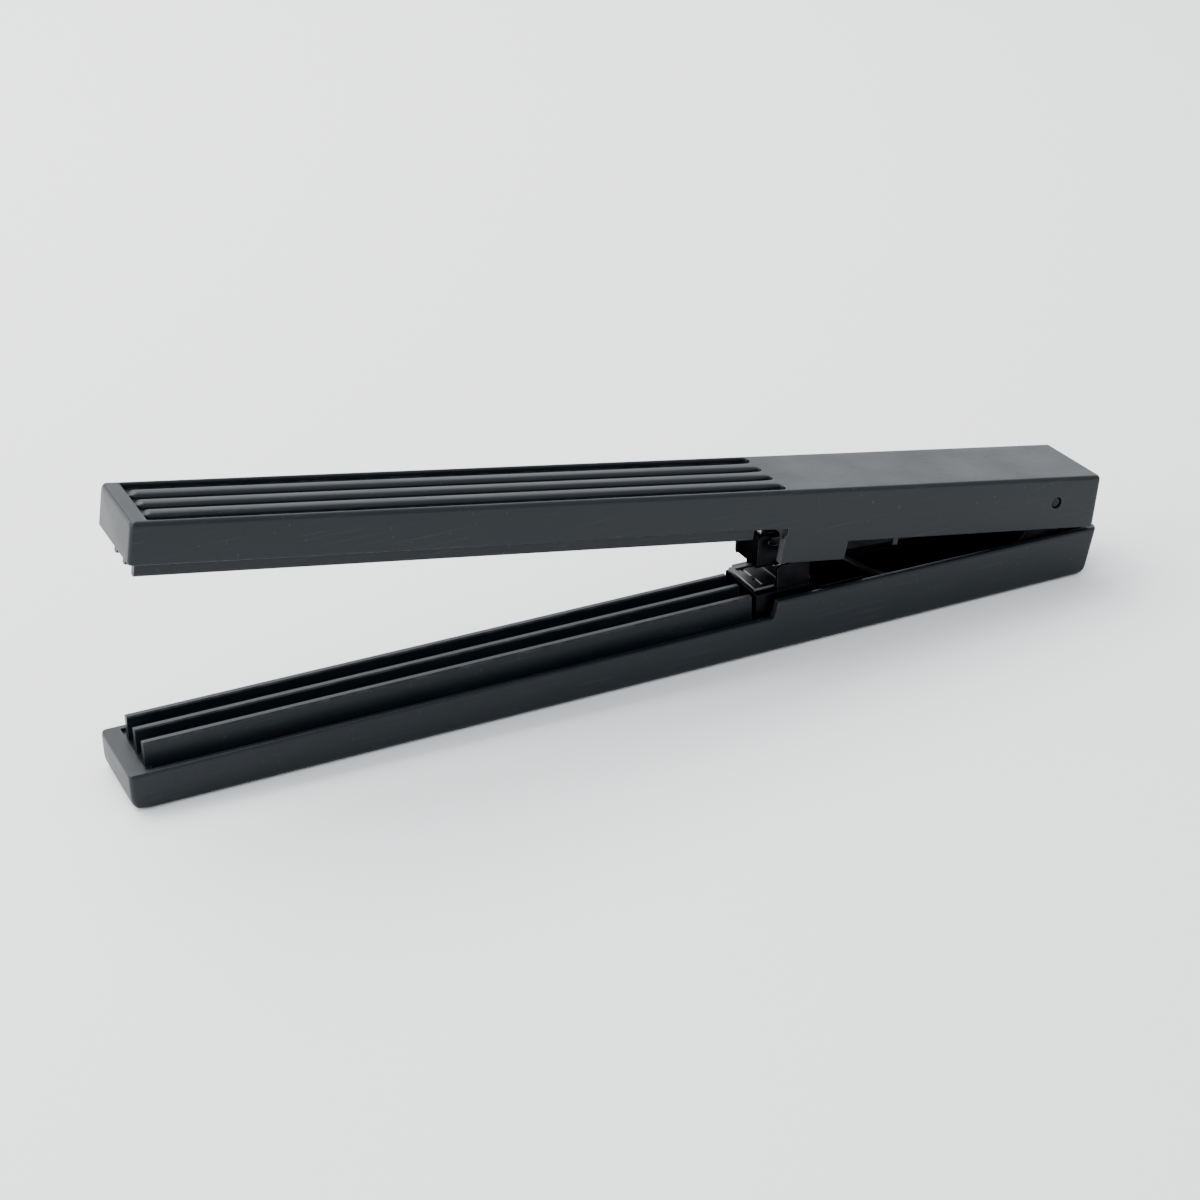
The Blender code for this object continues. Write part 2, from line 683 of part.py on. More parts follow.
def pusher_spring():
    front = PUSHER_REAR + GAP + COIL_WIRE_RADIUS
    rear = END_BLOCK_FRONT - GAP - COIL_WIRE_RADIUS
    count = COIL_TURNS * COIL_STEPS + 1
    curve = bpy.data.curves.new("coil", "CURVE")
    curve.dimensions = "3D"
    curve.bevel_depth = COIL_WIRE_RADIUS
    curve.bevel_resolution = 2
    curve.use_fill_caps = True
    spline = curve.splines.new("POLY")
    spline.points.add(count - 1)
    for i, point in enumerate(spline.points):
        turn = math.tau * i / COIL_STEPS
        x = front + (rear - front) * i / (count - 1)
        point.co = (x, COIL_RADIUS * math.cos(turn), ROD_Z + COIL_RADIUS * math.sin(turn), 1)
    place("pusher_spring", curve_mesh(curve), MAGAZINE, SPRING_STEEL)


def pusher():
    """The follower behind the staples, with a tab that stands out of the magazine's side slot."""
    width = (-STAPLE_HALF_WIDTH, STAPLE_HALF_WIDTH)
    height = (MAG_FLOOR_TOP + GAP, MAG_TOP - PUSHER_TOP_DROP)
    made = place("pusher", box((PUSHER_FRONT, PUSHER_REAR), width, height), PUSHER, ZINC_STEEL)
    tab_x = (PUSHER_FRONT + TAB_OFFSET, PUSHER_FRONT + TAB_OFFSET + TAB_LENGTH)
    tab_y = (TAB_REACH_Y, -STAPLE_HALF_WIDTH + GAP)
    join(made, box(tab_x, tab_y, (-TAB_HALF_HEIGHT, TAB_HALF_HEIGHT)))
    ends = (PUSHER_FRONT - CUT_MARGIN, PUSHER_REAR + CUT_MARGIN)
    saddle_y = STAPLE_HALF_WIDTH - STAPLE_WIRE
    saddle = box(ends, (-saddle_y, saddle_y), (MAG_BOTTOM - CUT_MARGIN, RAIL_TOP + GAP))
    cut(made, saddle, rod_hole(ends))


# ---------------------------------------------------------------- upper arm


def grip_grooves():
    """Four grooves that leave three raised bars, rounded at both ends."""
    bars_edge = BAR_PITCH + BAR_WIDTH / 2
    between = BAR_WIDTH / 2
    spans = (
        (-RIM_INNER_Y, -bars_edge),
        (-BAR_PITCH + between, -between),
        (between, BAR_PITCH - between),
        (bars_edge, RIM_INNER_Y),
    )
    z = (UPPER_TOP - GROOVE_CUT_DEPTH, UPPER_TOP + CUT_MARGIN)
    grooves = []
    for low, high in spans:
        grooves.append(box((GRIP_FRONT, GRIP_REAR), (low, high), z))
    return grooves


def upper_arm_shell():
    outline = [
        (UPPER_FRONT, UPPER_RIM),
        (LUG_FRONT, UPPER_RIM),
        (LUG_FRONT - LUG_LEAN, LUG_BOTTOM),
        (LUG_REAR - LUG_LEAN, LUG_BOTTOM),
        (LUG_REAR, UPPER_REAR_BOTTOM),
        (UPPER_REAR + UPPER_REAR_SLANT, UPPER_REAR_BOTTOM),
        (UPPER_REAR, UPPER_TOP),
        (UPPER_FRONT, UPPER_TOP),
    ]
    shell = place("upper_arm_shell", plate(outline, (-HALF_WIDTH, HALF_WIDTH)), UPPER, BLACK_PLASTIC)
    cavity = box(
        (UPPER_FRONT + UPPER_END_WALL, UPPER_REAR - WALL),
        (-INNER_Y, INNER_Y),
        (LUG_BOTTOM - CUT_MARGIN, CAVITY_TOP),
    )
    far_lug_front = box(
        (LUG_FRONT - CUT_MARGIN, FAR_LUG_FRONT),
        (INNER_Y - GAP, HALF_WIDTH + CUT_MARGIN),
        (LUG_BOTTOM - CUT_MARGIN, UPPER_RIM),
    )
    cut(shell, cavity, far_lug_front)
    join(shell, *long_ribs(UPPER_RIB_BOTTOM, CAVITY_TOP + GAP))
    tools = [*grip_grooves(), pin_hole()]
    screw_bore = (CAVITY_TOP - CUT_MARGIN, CAVITY_TOP + SCREW_BORE_DEPTH)
    for y in (-SCREW_Y, SCREW_Y):
        tools.append(rivet_hole(HEAD_X, y, screw_bore, SCREW_RADIUS))
    spring_bore = (CAVITY_TOP - CUT_MARGIN, CAVITY_TOP + TOP_BORE_DEPTH)
    tools.append(rivet_hole(RETURN_RIVET_X, 0, spring_bore, LEAF_RIVET_RADIUS))
    for number, tool in enumerate(tools):
        boolean(shell, place(f"upper_arm_shell_tool_{number}", tool, UPPER), "DIFFERENCE")


def turned(point, angle):
    """A point of the XZ plane turned about the pin by angle degrees, front end up."""
    a = math.radians(angle)
    x, z = point
    return (x * math.cos(a) + z * math.sin(a), -x * math.sin(a) + z * math.cos(a))


def driver():
    """The blade that drives the front staple, and the block that holds it in the upper arm."""
    tip_x, tip_z = turned((HEAD_X, BLADE_TIP), -UPPER_CLOSED)
    half = BLADE_THICKNESS / 2
    blade_solid = box((-half, half), (-BLADE_HALF_WIDTH, BLADE_HALF_WIDTH), (0, BLADE_LENGTH))
    blade = place("driver_blade", blade_solid, UPPER, SPRING_STEEL)
    blade.location = (tip_x, 0, tip_z)
    blade.rotation_euler = (0, math.radians(-BLADE_VERTICAL_AT), 0)
    width = (-HOLDER_HALF_WIDTH, HOLDER_HALF_WIDTH)
    holder_solid = box((HOLDER_FRONT, HOLDER_REAR), width, (HOLDER_BOTTOM, CAVITY_TOP - GAP))
    holder = place("driver_holder", holder_solid, UPPER, BLACK_STEEL)
    below = HOLDER_BOTTOM - CUT_MARGIN
    slot_x = (tip_x - BLADE_SLOT_FRONT, tip_x + BLADE_SLOT_REAR)
    slot_y = BLADE_HALF_WIDTH + GAP
    tools = [box(slot_x, (-slot_y, slot_y), (below, tip_z + BLADE_LENGTH + GAP))]
    for y in (-SCREW_Y, SCREW_Y):
        tools.append(rivet_hole(HEAD_X, y, (below, CAVITY_TOP + CUT_MARGIN), SCREW_RADIUS))
    cut(holder, *tools)
    seat = GAP - HOLDER_BOTTOM
    for side, y in (("near", -SCREW_Y), ("far", SCREW_Y)):
        shank = (-CAVITY_TOP - SCREW_REACH, seat)
        head = (seat, seat + SCREW_HEAD)
        screw = rivet(HEAD_X, y, shank, head, SCREW_RADIUS, SCREW_HEAD_RADIUS)
        place(f"driver_screw_{side}", flipped(screw, HEAD_X, y), UPPER, ZINC_STEEL)


def return_spring():
    """The leaf between the magazine and the upper arm that lifts the driver clear."""
    leaf = leaf_spring("return_spring", RETURN_PATH, RETURN_HALF_WIDTH, UPPER)
    through = (-CUT_MARGIN, 2 * CUT_MARGIN)
    cut(leaf, rivet_hole(RETURN_RIVET_X, 0, through, LEAF_RIVET_RADIUS))
    seat = LEAF_THICKNESS / 2 + GAP - RETURN_SEAT
    shank = (-CAVITY_TOP - RETURN_RIVET_REACH, seat)
    head = (seat, seat + LEAF_RIVET_HEAD)
    pin = rivet(RETURN_RIVET_X, 0, shank, head, LEAF_RIVET_RADIUS, LEAF_RIVET_HEAD_RADIUS)
    place("return_spring_rivet", flipped(pin, RETURN_RIVET_X, 0), UPPER, ZINC_STEEL)


lower_arm_shell()
lower_frame()
anvil()
hinge()
jaw_spring()
magazine_channel()
magazine_nose()
staple_rail()
staple_strip()
follower_guide()
pusher_spring()
pusher()
upper_arm_shell()
driver()
return_spring()
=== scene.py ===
"""The looks of the long two-arm stapler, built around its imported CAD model.

Sizes are in millimetres in each body's own frame: the hinge pin is the origin, the arms are
parallel, +X runs from the grips to the hinge, +Y across the arms and +Z up. body_matrix() turns
that frame to where the body stands at rest in the row frame, in metres.
"""

import json
import math

import bmesh
import bpy
from mathutils import Matrix, Vector

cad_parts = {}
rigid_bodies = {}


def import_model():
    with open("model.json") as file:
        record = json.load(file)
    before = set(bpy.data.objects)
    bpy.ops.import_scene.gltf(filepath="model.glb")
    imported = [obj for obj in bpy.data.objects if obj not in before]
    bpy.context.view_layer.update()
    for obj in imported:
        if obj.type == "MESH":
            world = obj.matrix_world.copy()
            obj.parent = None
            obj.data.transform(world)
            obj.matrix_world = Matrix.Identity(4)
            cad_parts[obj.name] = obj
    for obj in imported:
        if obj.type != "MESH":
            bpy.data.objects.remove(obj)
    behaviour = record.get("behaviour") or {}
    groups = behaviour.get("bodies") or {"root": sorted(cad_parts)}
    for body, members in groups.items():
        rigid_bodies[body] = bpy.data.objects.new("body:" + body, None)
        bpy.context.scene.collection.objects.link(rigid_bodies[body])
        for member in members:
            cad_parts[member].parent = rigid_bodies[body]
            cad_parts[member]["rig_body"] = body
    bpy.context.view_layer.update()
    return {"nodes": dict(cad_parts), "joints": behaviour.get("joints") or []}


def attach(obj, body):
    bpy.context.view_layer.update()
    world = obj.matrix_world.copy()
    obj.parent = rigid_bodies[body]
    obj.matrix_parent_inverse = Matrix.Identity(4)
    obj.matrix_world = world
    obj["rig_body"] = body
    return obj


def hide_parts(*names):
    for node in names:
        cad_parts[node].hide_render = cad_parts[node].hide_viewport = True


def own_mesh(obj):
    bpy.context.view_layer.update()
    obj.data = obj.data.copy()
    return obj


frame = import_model()

MM = 0.001
SMOOTH_ANGLE = math.radians(38)
JOINTS = {joint["name"]: joint for joint in frame["joints"]}
PIN = Vector(JOINTS["magazine_hinge"]["pos_m"])
MAGAZINE_OPEN = -JOINTS["magazine_hinge"]["range_deg"][0]
DRIVER_STROKE = -JOINTS["upper_arm_hinge"]["range_deg"][0]
UPPER_CLOSED = 3.1
ANGLE = {
    "lower_arm": 0.0,
    "magazine": MAGAZINE_OPEN,
    "pusher": MAGAZINE_OPEN,
    "upper_arm": MAGAZINE_OPEN + DRIVER_STROKE + UPPER_CLOSED,
}


def body_matrix(body):
    """From millimetres in a body's own frame to metres in the row frame."""
    turn = Matrix.Rotation(math.radians(ANGLE[body]), 4, "Y")
    return Matrix.Translation(PIN) @ turn @ Matrix.Scale(MM, 4)


def local_box(node):
    """Lowest and highest corner of a CAD node in its body's own frame, in millimetres."""
    piece = frame["nodes"][node]
    back = body_matrix(piece["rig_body"]).inverted()
    spots = [back @ vertex.co for vertex in piece.data.vertices]
    low = Vector([min(spot[axis] for spot in spots) for axis in range(3)])
    high = Vector([max(spot[axis] for spot in spots) for axis in range(3)])
    return low, high


UPPER_LOW, UPPER_HIGH = local_box("upper_arm_shell")
LOWER_LOW, LOWER_HIGH = local_box("lower_arm_shell")
HALF_WIDTH = UPPER_HIGH.y
WALL = 2.0
INNER_Y = HALF_WIDTH - WALL
RIB_PITCH = 6.5
RIB_HALF = 0.9
RIB_ROUND = 0.3
RIB_FRONT = -242.6
RIB_REAR = -87.4
PLAIN_STATIONS = (-200.0, -160.0, -120.0)
EVENT = 0.005


# ------------------------------------------------------------------ materials


class Nodes:
    """Short names for adding nodes to one material."""

    def __init__(self, name):
        self.material = bpy.data.materials.new(name)
        self.material.use_nodes = True
        self.tree = self.material.node_tree
        self.shader = self.tree.nodes["Principled BSDF"]
        self.place = self.add("ShaderNodeTexCoord").outputs["Object"]

    def add(self, kind, **settings):
        node = self.tree.nodes.new(kind)
        for key, value in settings.items():
            setattr(node, key, value)
        return node

    def link(self, output, socket):
        self.tree.links.new(output, socket)

    def noise(self, scale, detail=2.0, stretch=(1, 1, 1)):
        """Noise between 0 and 1; scale is in waves a metre."""
        mapping = self.add("ShaderNodeMapping")
        mapping.inputs["Scale"].default_value = stretch
        self.link(self.place, mapping.inputs["Vector"])
        node = self.add("ShaderNodeTexNoise")
        node.inputs["Scale"].default_value = scale
        node.inputs["Detail"].default_value = detail
        self.link(mapping.outputs["Vector"], node.inputs["Vector"])
        return node.outputs["Fac"]

    def span(self, value, old, new):
        """Maps the old range to the new one, clamped."""
        node = self.add("ShaderNodeMapRange")
        node.inputs["From Min"].default_value = old[0]
        node.inputs["From Max"].default_value = old[1]
        node.inputs["To Min"].default_value = new[0]
        node.inputs["To Max"].default_value = new[1]
        self.link(value, node.inputs["Value"])
        return node.outputs["Result"]

    def math(self, operation, first, second):
        node = self.add("ShaderNodeMath", operation=operation, use_clamp=True)
        for socket, value in zip(node.inputs, (first, second)):
            if isinstance(value, float):
                socket.default_value = value
            else:
                self.link(value, socket)
        return node.outputs["Value"]

    def mix(self, factor, first, second):
        """A colour between two colours, each a tuple or an output."""
        node = self.add("ShaderNodeMix", data_type="RGBA")
        self.link(factor, node.inputs["Factor"])
        for socket, value in zip((node.inputs[6], node.inputs[7]), (first, second)):
            if isinstance(value, tuple):
                socket.default_value = (*value, 1.0)
            else:
                self.link(value, socket)
        return node.outputs[2]

    def edges(self, radius):
        """1 along edges sharper than radius, 0 on flats, from how far a rounded normal turns away."""
        bevel = self.add("ShaderNodeBevel", samples=4)
        bevel.inputs["Radius"].default_value = radius
        plain = self.add("ShaderNodeNewGeometry")
        dot = self.add("ShaderNodeVectorMath", operation="DOT_PRODUCT")
        self.link(bevel.outputs["Normal"], dot.inputs[0])
        self.link(plain.outputs["Normal"], dot.inputs[1])
        return self.span(dot.outputs["Value"], (0.995, 0.90), (0.0, 1.0))

    def bump(self, height, strength, distance):
        node = self.add("ShaderNodeBump")
        node.inputs["Strength"].default_value = strength
        node.inputs["Distance"].default_value = distance
        self.link(height, node.inputs["Height"])
        self.link(node.outputs["Normal"], self.shader.inputs["Normal"])


def black_plastic():
    """Satin moulded plastic: fine grain, long rub marks, and a paler, rougher line on worn edges."""
    n = Nodes("black_plastic")
    patches = n.noise(55.0, 3.0)
    grain = n.noise(3200.0, 2.0)
    rubs = n.span(n.noise(1.0, 4.0, (45, 1500, 1500)), (0.60, 0.72), (0.0, 1.0))
    specks = n.span(n.noise(900.0, 1.0), (0.73, 0.78), (0.0, 1.0))
    wear = n.math("MULTIPLY", n.edges(0.0005), n.span(n.noise(260.0, 4.0), (0.42, 0.62), (0.0, 1.0)))
    colour = n.mix(patches, (0.0038, 0.0062, 0.0084), (0.0064, 0.0094, 0.0122))
    colour = n.mix(n.math("MULTIPLY", rubs, 0.25), colour, (0.038, 0.042, 0.047))
    colour = n.mix(n.math("MULTIPLY", specks, 0.18), colour, (0.070, 0.075, 0.080))
    colour = n.mix(n.math("MULTIPLY", wear, 0.55), colour, (0.075, 0.081, 0.088))
    n.link(colour, n.shader.inputs["Base Color"])
    n.shader.inputs["Specular IOR Level"].default_value = 0.24
    rough = n.math("ADD", n.span(patches, (0.3, 0.7), (0.33, 0.43)), n.math("MULTIPLY", rubs, 0.10))
    n.link(n.math("ADD", rough, n.math("MULTIPLY", wear, 0.12)), n.shader.inputs["Roughness"])
    n.bump(n.math("ADD", grain, n.math("MULTIPLY", n.noise(420.0, 2.0), 0.9)), 0.16, 0.00006)
    return n.material


def metal(name, dark, light, rough, brushed, stain):
    """Sheet metal: cloudy plating, dark stains, edges mixed paler as worn metal and as a painted edge
    highlight, and brushed along X if brushed.
    """
    n = Nodes(name)
    clouds = n.noise(140.0, 4.0)
    brush = n.noise(1.0, 3.0, (90, 5200, 5200)) if brushed else n.noise(2600.0, 3.0)
    stains = n.span(n.noise(75.0, 5.0), (0.52, 0.72), (0.0, 1.0))
    colour = n.mix(n.span(clouds, (0.3, 0.7), (0.0, 1.0)), dark, light)
    colour = n.mix(n.math("MULTIPLY", stains, stain), colour, tuple(0.35 * part for part in dark))
    # Paler edges: partly real wear, partly a painted highlight that draws thin light strips along sheet
    # edges.
    edge_wear_and_highlight = tuple(min(1.0, 1.25 * part + 0.05) for part in light)
    colour = n.mix(n.math("MULTIPLY", n.edges(0.0002), 0.6), colour, edge_wear_and_highlight)
    n.link(colour, n.shader.inputs["Base Color"])
    n.shader.inputs["Metallic"].default_value = 1.0
    tint = min(1.0, 6.0 * light[0] + 0.05)
    n.shader.inputs["Specular Tint"].default_value = (tint, tint, tint, 1.0)
    rough_noise = n.span(brush, (0.3, 0.7), (rough - 0.07, rough + 0.09))
    n.link(n.math("ADD", rough_noise, n.math("MULTIPLY", stains, 0.12)), n.shader.inputs["Roughness"])
    n.bump(brush, 0.12, 0.00003)
    return n.material


FINISHES = {
    "black_plastic": black_plastic(),
    # Near-black steel: partly the parts' blackened finish, partly painted shade that keeps the wedge
    # between the arms and the recess under the magazine dark.
    "black_steel": metal("black_steel", (0.004, 0.004, 0.005), (0.010, 0.010, 0.011), 0.40, False, 0.5),
    "zinc_steel": metal("zinc_steel", (0.30, 0.30, 0.29), (0.44, 0.44, 0.43), 0.38, True, 0.45),
    "spring_steel": metal("spring_steel", (0.17, 0.17, 0.18), (0.28, 0.28, 0.30), 0.32, True, 0.45),
    "dark_grey_steel": metal("dark_grey_steel", (0.050, 0.050, 0.052), (0.100, 0.100, 0.102), 0.36, True, 0.6),
    # A darker copy of the spring steel.
    "darkened_steel": metal("darkened_steel", (0.016, 0.017, 0.018), (0.045, 0.046, 0.048), 0.50, False, 0.6),
    "staple_wire": metal("staple_wire", (0.60, 0.60, 0.59), (0.74, 0.74, 0.73), 0.25, True, 0.15),
}


# ------------------------------------------------------------------ mesh tools


def mesh_of(bm):
    mesh = bpy.data.meshes.new("made")
    bm.to_mesh(mesh)
    bm.free()
    return mesh


def loft(rings):
    """A closed skin through rings with the same number of points, capped at both ends."""
    bm = bmesh.new()
    rows = [[bm.verts.new(point) for point in ring] for ring in rings]
    for row, after in zip(rows, rows[1:]):
        for i, corner in enumerate(row):
            before = i - 1
            bm.faces.new((row[before], corner, after[i], after[before]))
    bm.faces.new(rows[0])
    bm.faces.new(rows[-1])
    bmesh.ops.remove_doubles(bm, verts=bm.verts, dist=0.0008)
    bmesh.ops.recalc_face_normals(bm, faces=bm.faces)
    return mesh_of(bm)


def rounded_box(low, high, radius, segments=3):
    """A block between two corners with every edge rounded."""
    bm = bmesh.new()
    bmesh.ops.create_cube(bm, size=1.0)
    low, high = Vector(low), Vector(high)
    place = Matrix.Translation((low + high) / 2) @ Matrix.Diagonal(high - low).to_4x4()
    bmesh.ops.transform(bm, matrix=place, verts=bm.verts)
    bmesh.ops.bevel(
        bm,
        geom=bm.edges,
        offset=radius,
        offset_type="OFFSET",
        segments=segments,
        profile=0.5,
        affect="EDGES",
    )
    return mesh_of(bm)


def rod(axis, centre, radius, span, chamfer=0.15, sides=40):
    """A round bar along axis with chamfered ends; centre gives its other two values."""
    ends = [(span[0], radius - chamfer), (span[0] + chamfer, radius), (span[1] - chamfer, radius)]
    ends.append((span[1], radius - chamfer))
    rings = []
    for along, size in ends:
        ring = []
        for side in range(sides):
            turn = math.tau * side / sides
            a = centre[0] + size * math.cos(turn)
            b = centre[1] + size * math.sin(turn)
            ring.append({"X": (along, a, b), "Y": (a, along, b), "Z": (a, b, along)}[axis])
        rings.append(ring)
    return loft(rings)


def slab(outline, y):
    """An outline in the XZ plane, extruded between two values of y."""
    return loft([[(px, side, pz) for px, pz in outline] for side in y])


def arc(centre, radius, start, end, steps):
    """Points on an arc in a plane, angles in degrees from its first axis towards its second."""
    points = []
    for step in range(steps + 1):
        angle = math.radians(start + (end - start) * step / steps)
        points.append((centre[0] + radius * math.cos(angle), centre[1] + radius * math.sin(angle)))
    return points


def evaluated(holder):
    graph = bpy.context.evaluated_depsgraph_get()
    mesh = bpy.data.meshes.new_from_object(holder.evaluated_get(graph))
    bpy.data.objects.remove(holder, do_unlink=True)
    return mesh


def holding(mesh):
    made = bpy.data.objects.new("holder", mesh)
    bpy.context.scene.collection.objects.link(made)
    return made


def combine(mesh, operation, tools):
    """The mesh after a boolean with each tool in turn."""
    target = holding(mesh)
    others = [holding(tool) for tool in tools]
    for other in others:
        step = target.modifiers.new("step", "BOOLEAN")
        step.operation = operation
        step.solver = "EXACT"
        step.object = other
    made = evaluated(target)
    for other in others:
        bpy.data.objects.remove(other, do_unlink=True)
    return made


def softened(mesh, width, segments=2, angle=35):
    """The mesh with its sharp edges rounded."""
    target = holding(mesh)
    step = target.modifiers.new("soft", "BEVEL")
    step.width = width
    step.segments = segments
    step.limit_method = "ANGLE"
    step.angle_limit = math.radians(angle)
    return evaluated(target)


def piece(name, mesh, body, finish, *nodes, look=None):
    """Puts a mesh, drawn in its body's frame, on that body in place of the CAD nodes."""
    mesh.transform(body_matrix(body))
    mesh.materials.clear()
    mesh.materials.append(FINISHES[look or finish])
    mesh.shade_smooth()
    mesh.set_sharp_from_angle(angle=SMOOTH_ANGLE)
    made = bpy.data.objects.new(name, mesh)
    bpy.context.scene.collection.objects.link(made)
    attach(made, body)
    if nodes:
        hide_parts(*nodes)
    return made


# ------------------------------------------------------------------ long arm shells


def inset(distance, radius):
    """How far a quarter-round end draws the outline in, at this distance from the end."""
    if distance >= radius:
        return 0.0
    return radius - math.sqrt(max(0.0, radius ** 2 - (radius - distance) ** 2))


def round_stations(end, radius, direction, steps=8):
    """Stations that follow a quarter round which starts at end and runs in direction."""
    shares = [1 - math.cos(math.radians(90 * i / steps)) for i in range(steps + 1)]
    return [end + direction * radius * share for share in shares]


def both(x):
    """Two stations, just before and just after a sudden change."""
    return [x - EVENT, x + EVENT]


def superellipse(low, high, floor, crest, power, steps):
    """A raised bar's section from low to high across Y: steep sides and a crowned top."""
    middle = (low + high) / 2
    half = (high - low) / 2
    points = []
    for step in range(steps + 1):
        angle = math.pi * (1 - step / steps)
        c, s = math.cos(angle), math.sin(angle)
        across = math.copysign(abs(c) ** (2 / power), c)
        up = max(0.0, s) ** (2 / power)
        points.append((middle + half * across, floor + (crest - floor) * up))
    return points


def ribs(base, tip):
    """Half a section's ribs, out from the centre: half a rib, then a whole one. tip is their free edge."""
    toward = 1 if base > tip else -1
    soft = min(RIB_ROUND, abs(base - tip)) * toward
    across = abs(soft)
    inner, outer = RIB_PITCH - RIB_HALF, RIB_PITCH + RIB_HALF
    return [
        (0.0, tip),
        (RIB_HALF - across, tip),
        (RIB_HALF, tip + soft),
        (RIB_HALF, base),
        (inner, base),
        (inner, tip + soft),
        (inner + across, tip),
        (outer - across, tip),
        (outer, tip + soft),
        (outer, base),
    ]


def shell_skin(stations, half_section, slide):
    """Lofts a symmetric section along X. slide(x, z) leans a point along X."""
    rings = []
    for x in sorted(stations):
        half = half_section(x)
        whole = half + [(-y, z) for y, z in reversed(half)]
        rings.append([(x + slide(x, z), y, z) for y, z in whole])
    return loft(rings)


UPPER_RIM = -3.1
UPPER_REAR_BOTTOM = -7.4
UPPER_REAR_SLANT = 1.0
SLANT_RUN = 5.0
UPPER_RIB_BOTTOM = -7.7
LUG_FRONT = -81.1
LUG_REAR = -62.6
LUG_LEAN = 0.2
FAR_LUG_FRONT = -74.5
LUG_LEAN_FROM = -2.2
LUG_CLEAR = 0.12
CEILING = 4.3
UPPER_END_WALL = 3.0
FRONT_CORNER = 1.3
REAR_CORNER = 1.4
TOP_EDGE = 1.1
RIM_EDGE = 0.45
INNER_EDGE = 0.25
CAVITY_FILLET = 0.5
GRIP_FRONT = -241.5
GRIP_REAR = -82.0
GROOVE_DEPTH = 1.3
BAR_HALF = 1.9
BAR_PITCH = 5.6
RIM_INNER_Y = 10.4
SHOULDER = 0.42
DECK_FALL = 0.8
NOSE_START = 0.45
NOSE_LENGTH = 1.9
BAR_POWER = 2.9
BAR_END_POWER = 9.0
BAR_STEPS = 12
INNER_GROOVE_HALF = BAR_PITCH / 2 - BAR_HALF
OUTER_GROOVE_HALF = (RIM_INNER_Y - BAR_PITCH - BAR_HALF) / 2
PIN_HOLE = 1.62
GUSSET_REACH = 3.4
GUSSET_DROP = 3.3
GUSSET_OVERLAP = 0.6
GUSSET_CURVE = 3.1
GUSSET_CENTRE = 3.6
NUB_FRONT = -48.6
NUB_REAR = -47.1
NUB_FOOT = -9.3


def closing(distance, length):
    """0 at the end of a round-ended slot, 1 from length inward."""
    share = min(1.0, max(0.0, distance / length))
    return math.sqrt(1 - (1 - share) ** 2)


def upper_top(x, half, top):
    """The upper arm's top from the outer edge in to the centre: rim, grooves and crowned bars."""
    from_deck = x - GRIP_FRONT
    to_end = GRIP_REAR - x
    fall = min(1.0, max(0.0, from_deck / DECK_FALL))
    depth = GROOVE_DEPTH * fall * fall * (3 - 2 * fall) if to_end > 0 else 0.0
    floor = top - depth
    nose = closing(from_deck - NOSE_START, NOSE_LENGTH)
    inner_mid = BAR_PITCH / 2
    outer_mid = (BAR_PITCH + BAR_HALF + RIM_INNER_Y) / 2
    inner_open = INNER_GROOVE_HALF * closing(to_end, INNER_GROOVE_HALF)
    outer_open = OUTER_GROOVE_HALF * closing(to_end, OUTER_GROOVE_HALF)
    power = BAR_POWER + BAR_END_POWER * (1 - closing(to_end, 2 * OUTER_GROOVE_HALF))
    crest = floor + (top - floor) * (nose if to_end > 0 else 1.0)
    first = (inner_mid - inner_open) * nose
    second_low = BAR_PITCH - (BAR_PITCH - inner_mid - inner_open) * nose
    second_high = BAR_PITCH + (outer_mid - outer_open - BAR_PITCH) * nose
    rim_edge = outer_mid + outer_open
    soft = min(SHOULDER, depth)
    scale = half / HALF_WIDTH
    points = [(y * scale, z) for y, z in arc((rim_edge + soft, top - soft), soft, 90, 180, 4)]
    points.append((rim_edge * scale, floor))
    for y, z in reversed(superellipse(second_low, second_high, floor, crest, power, BAR_STEPS)):
        points.append((y * scale, z))
    middle_bar = superellipse(-first, first, floor, crest, power, BAR_STEPS)
    for y, z in reversed(middle_bar[BAR_STEPS // 2:]):
        points.append((y * scale, z))
    return points


def upper_half(x):
    front = x - UPPER_LOW.x
    rear = UPPER_HIGH.x - x
    half = HALF_WIDTH - inset(front, FRONT_CORNER) - inset(rear, REAR_CORNER)
    top = UPPER_HIGH.z - inset(front, TOP_EDGE) - inset(rear, TOP_EDGE)
    bottom = UPPER_RIM + inset(front, RIM_EDGE)
    if x > LUG_FRONT:
        bottom = UPPER_LOW.z
    if x > LUG_REAR:
        bottom = UPPER_REAR_BOTTOM + inset(rear, RIM_EDGE)
    hollow = front > UPPER_END_WALL and rear > WALL + UPPER_REAR_SLANT
    ceiling = CEILING if hollow else bottom
    ribbed = RIB_FRONT < x < RIB_REAR
    scale = half / HALF_WIDTH
    points = [(y * scale, z) for y, z in ribs(ceiling, UPPER_RIB_BOTTOM if ribbed else ceiling)]
    fillet = CAVITY_FILLET if hollow else 0.0
    inner = INNER_Y * scale
    points += arc((inner - fillet, ceiling - fillet), fillet, 90, 0, 3)
    points.append((inner, LUG_LEAN_FROM if hollow else bottom))
    edge = INNER_EDGE if hollow else 0.0
    points += arc((inner + edge, bottom + edge), edge, 180, 270, 3)
    points += arc((half - RIM_EDGE, bottom + RIM_EDGE), RIM_EDGE, 270, 360, 4)
    points.append((half, LUG_LEAN_FROM))
    points += arc((half - TOP_EDGE, top - TOP_EDGE), TOP_EDGE, 0, 90, 8)
    return points + upper_top(x, half, top)


def upper_slide(x, z):
    """The lug's edges lean forward towards their foot, and the rear end leans out towards its foot."""
    ramp = (x - UPPER_HIGH.x + SLANT_RUN) / SLANT_RUN
    if ramp > 0:
        return -UPPER_REAR_SLANT * ramp * (z - UPPER_REAR_BOTTOM) / (UPPER_HIGH.z - UPPER_REAR_BOTTOM)
    if not LUG_FRONT < x < LUG_REAR or z > LUG_LEAN_FROM:
        return 0.0
    return -LUG_LEAN * (LUG_LEAN_FROM - z) / (LUG_LEAN_FROM - UPPER_LOW.z)


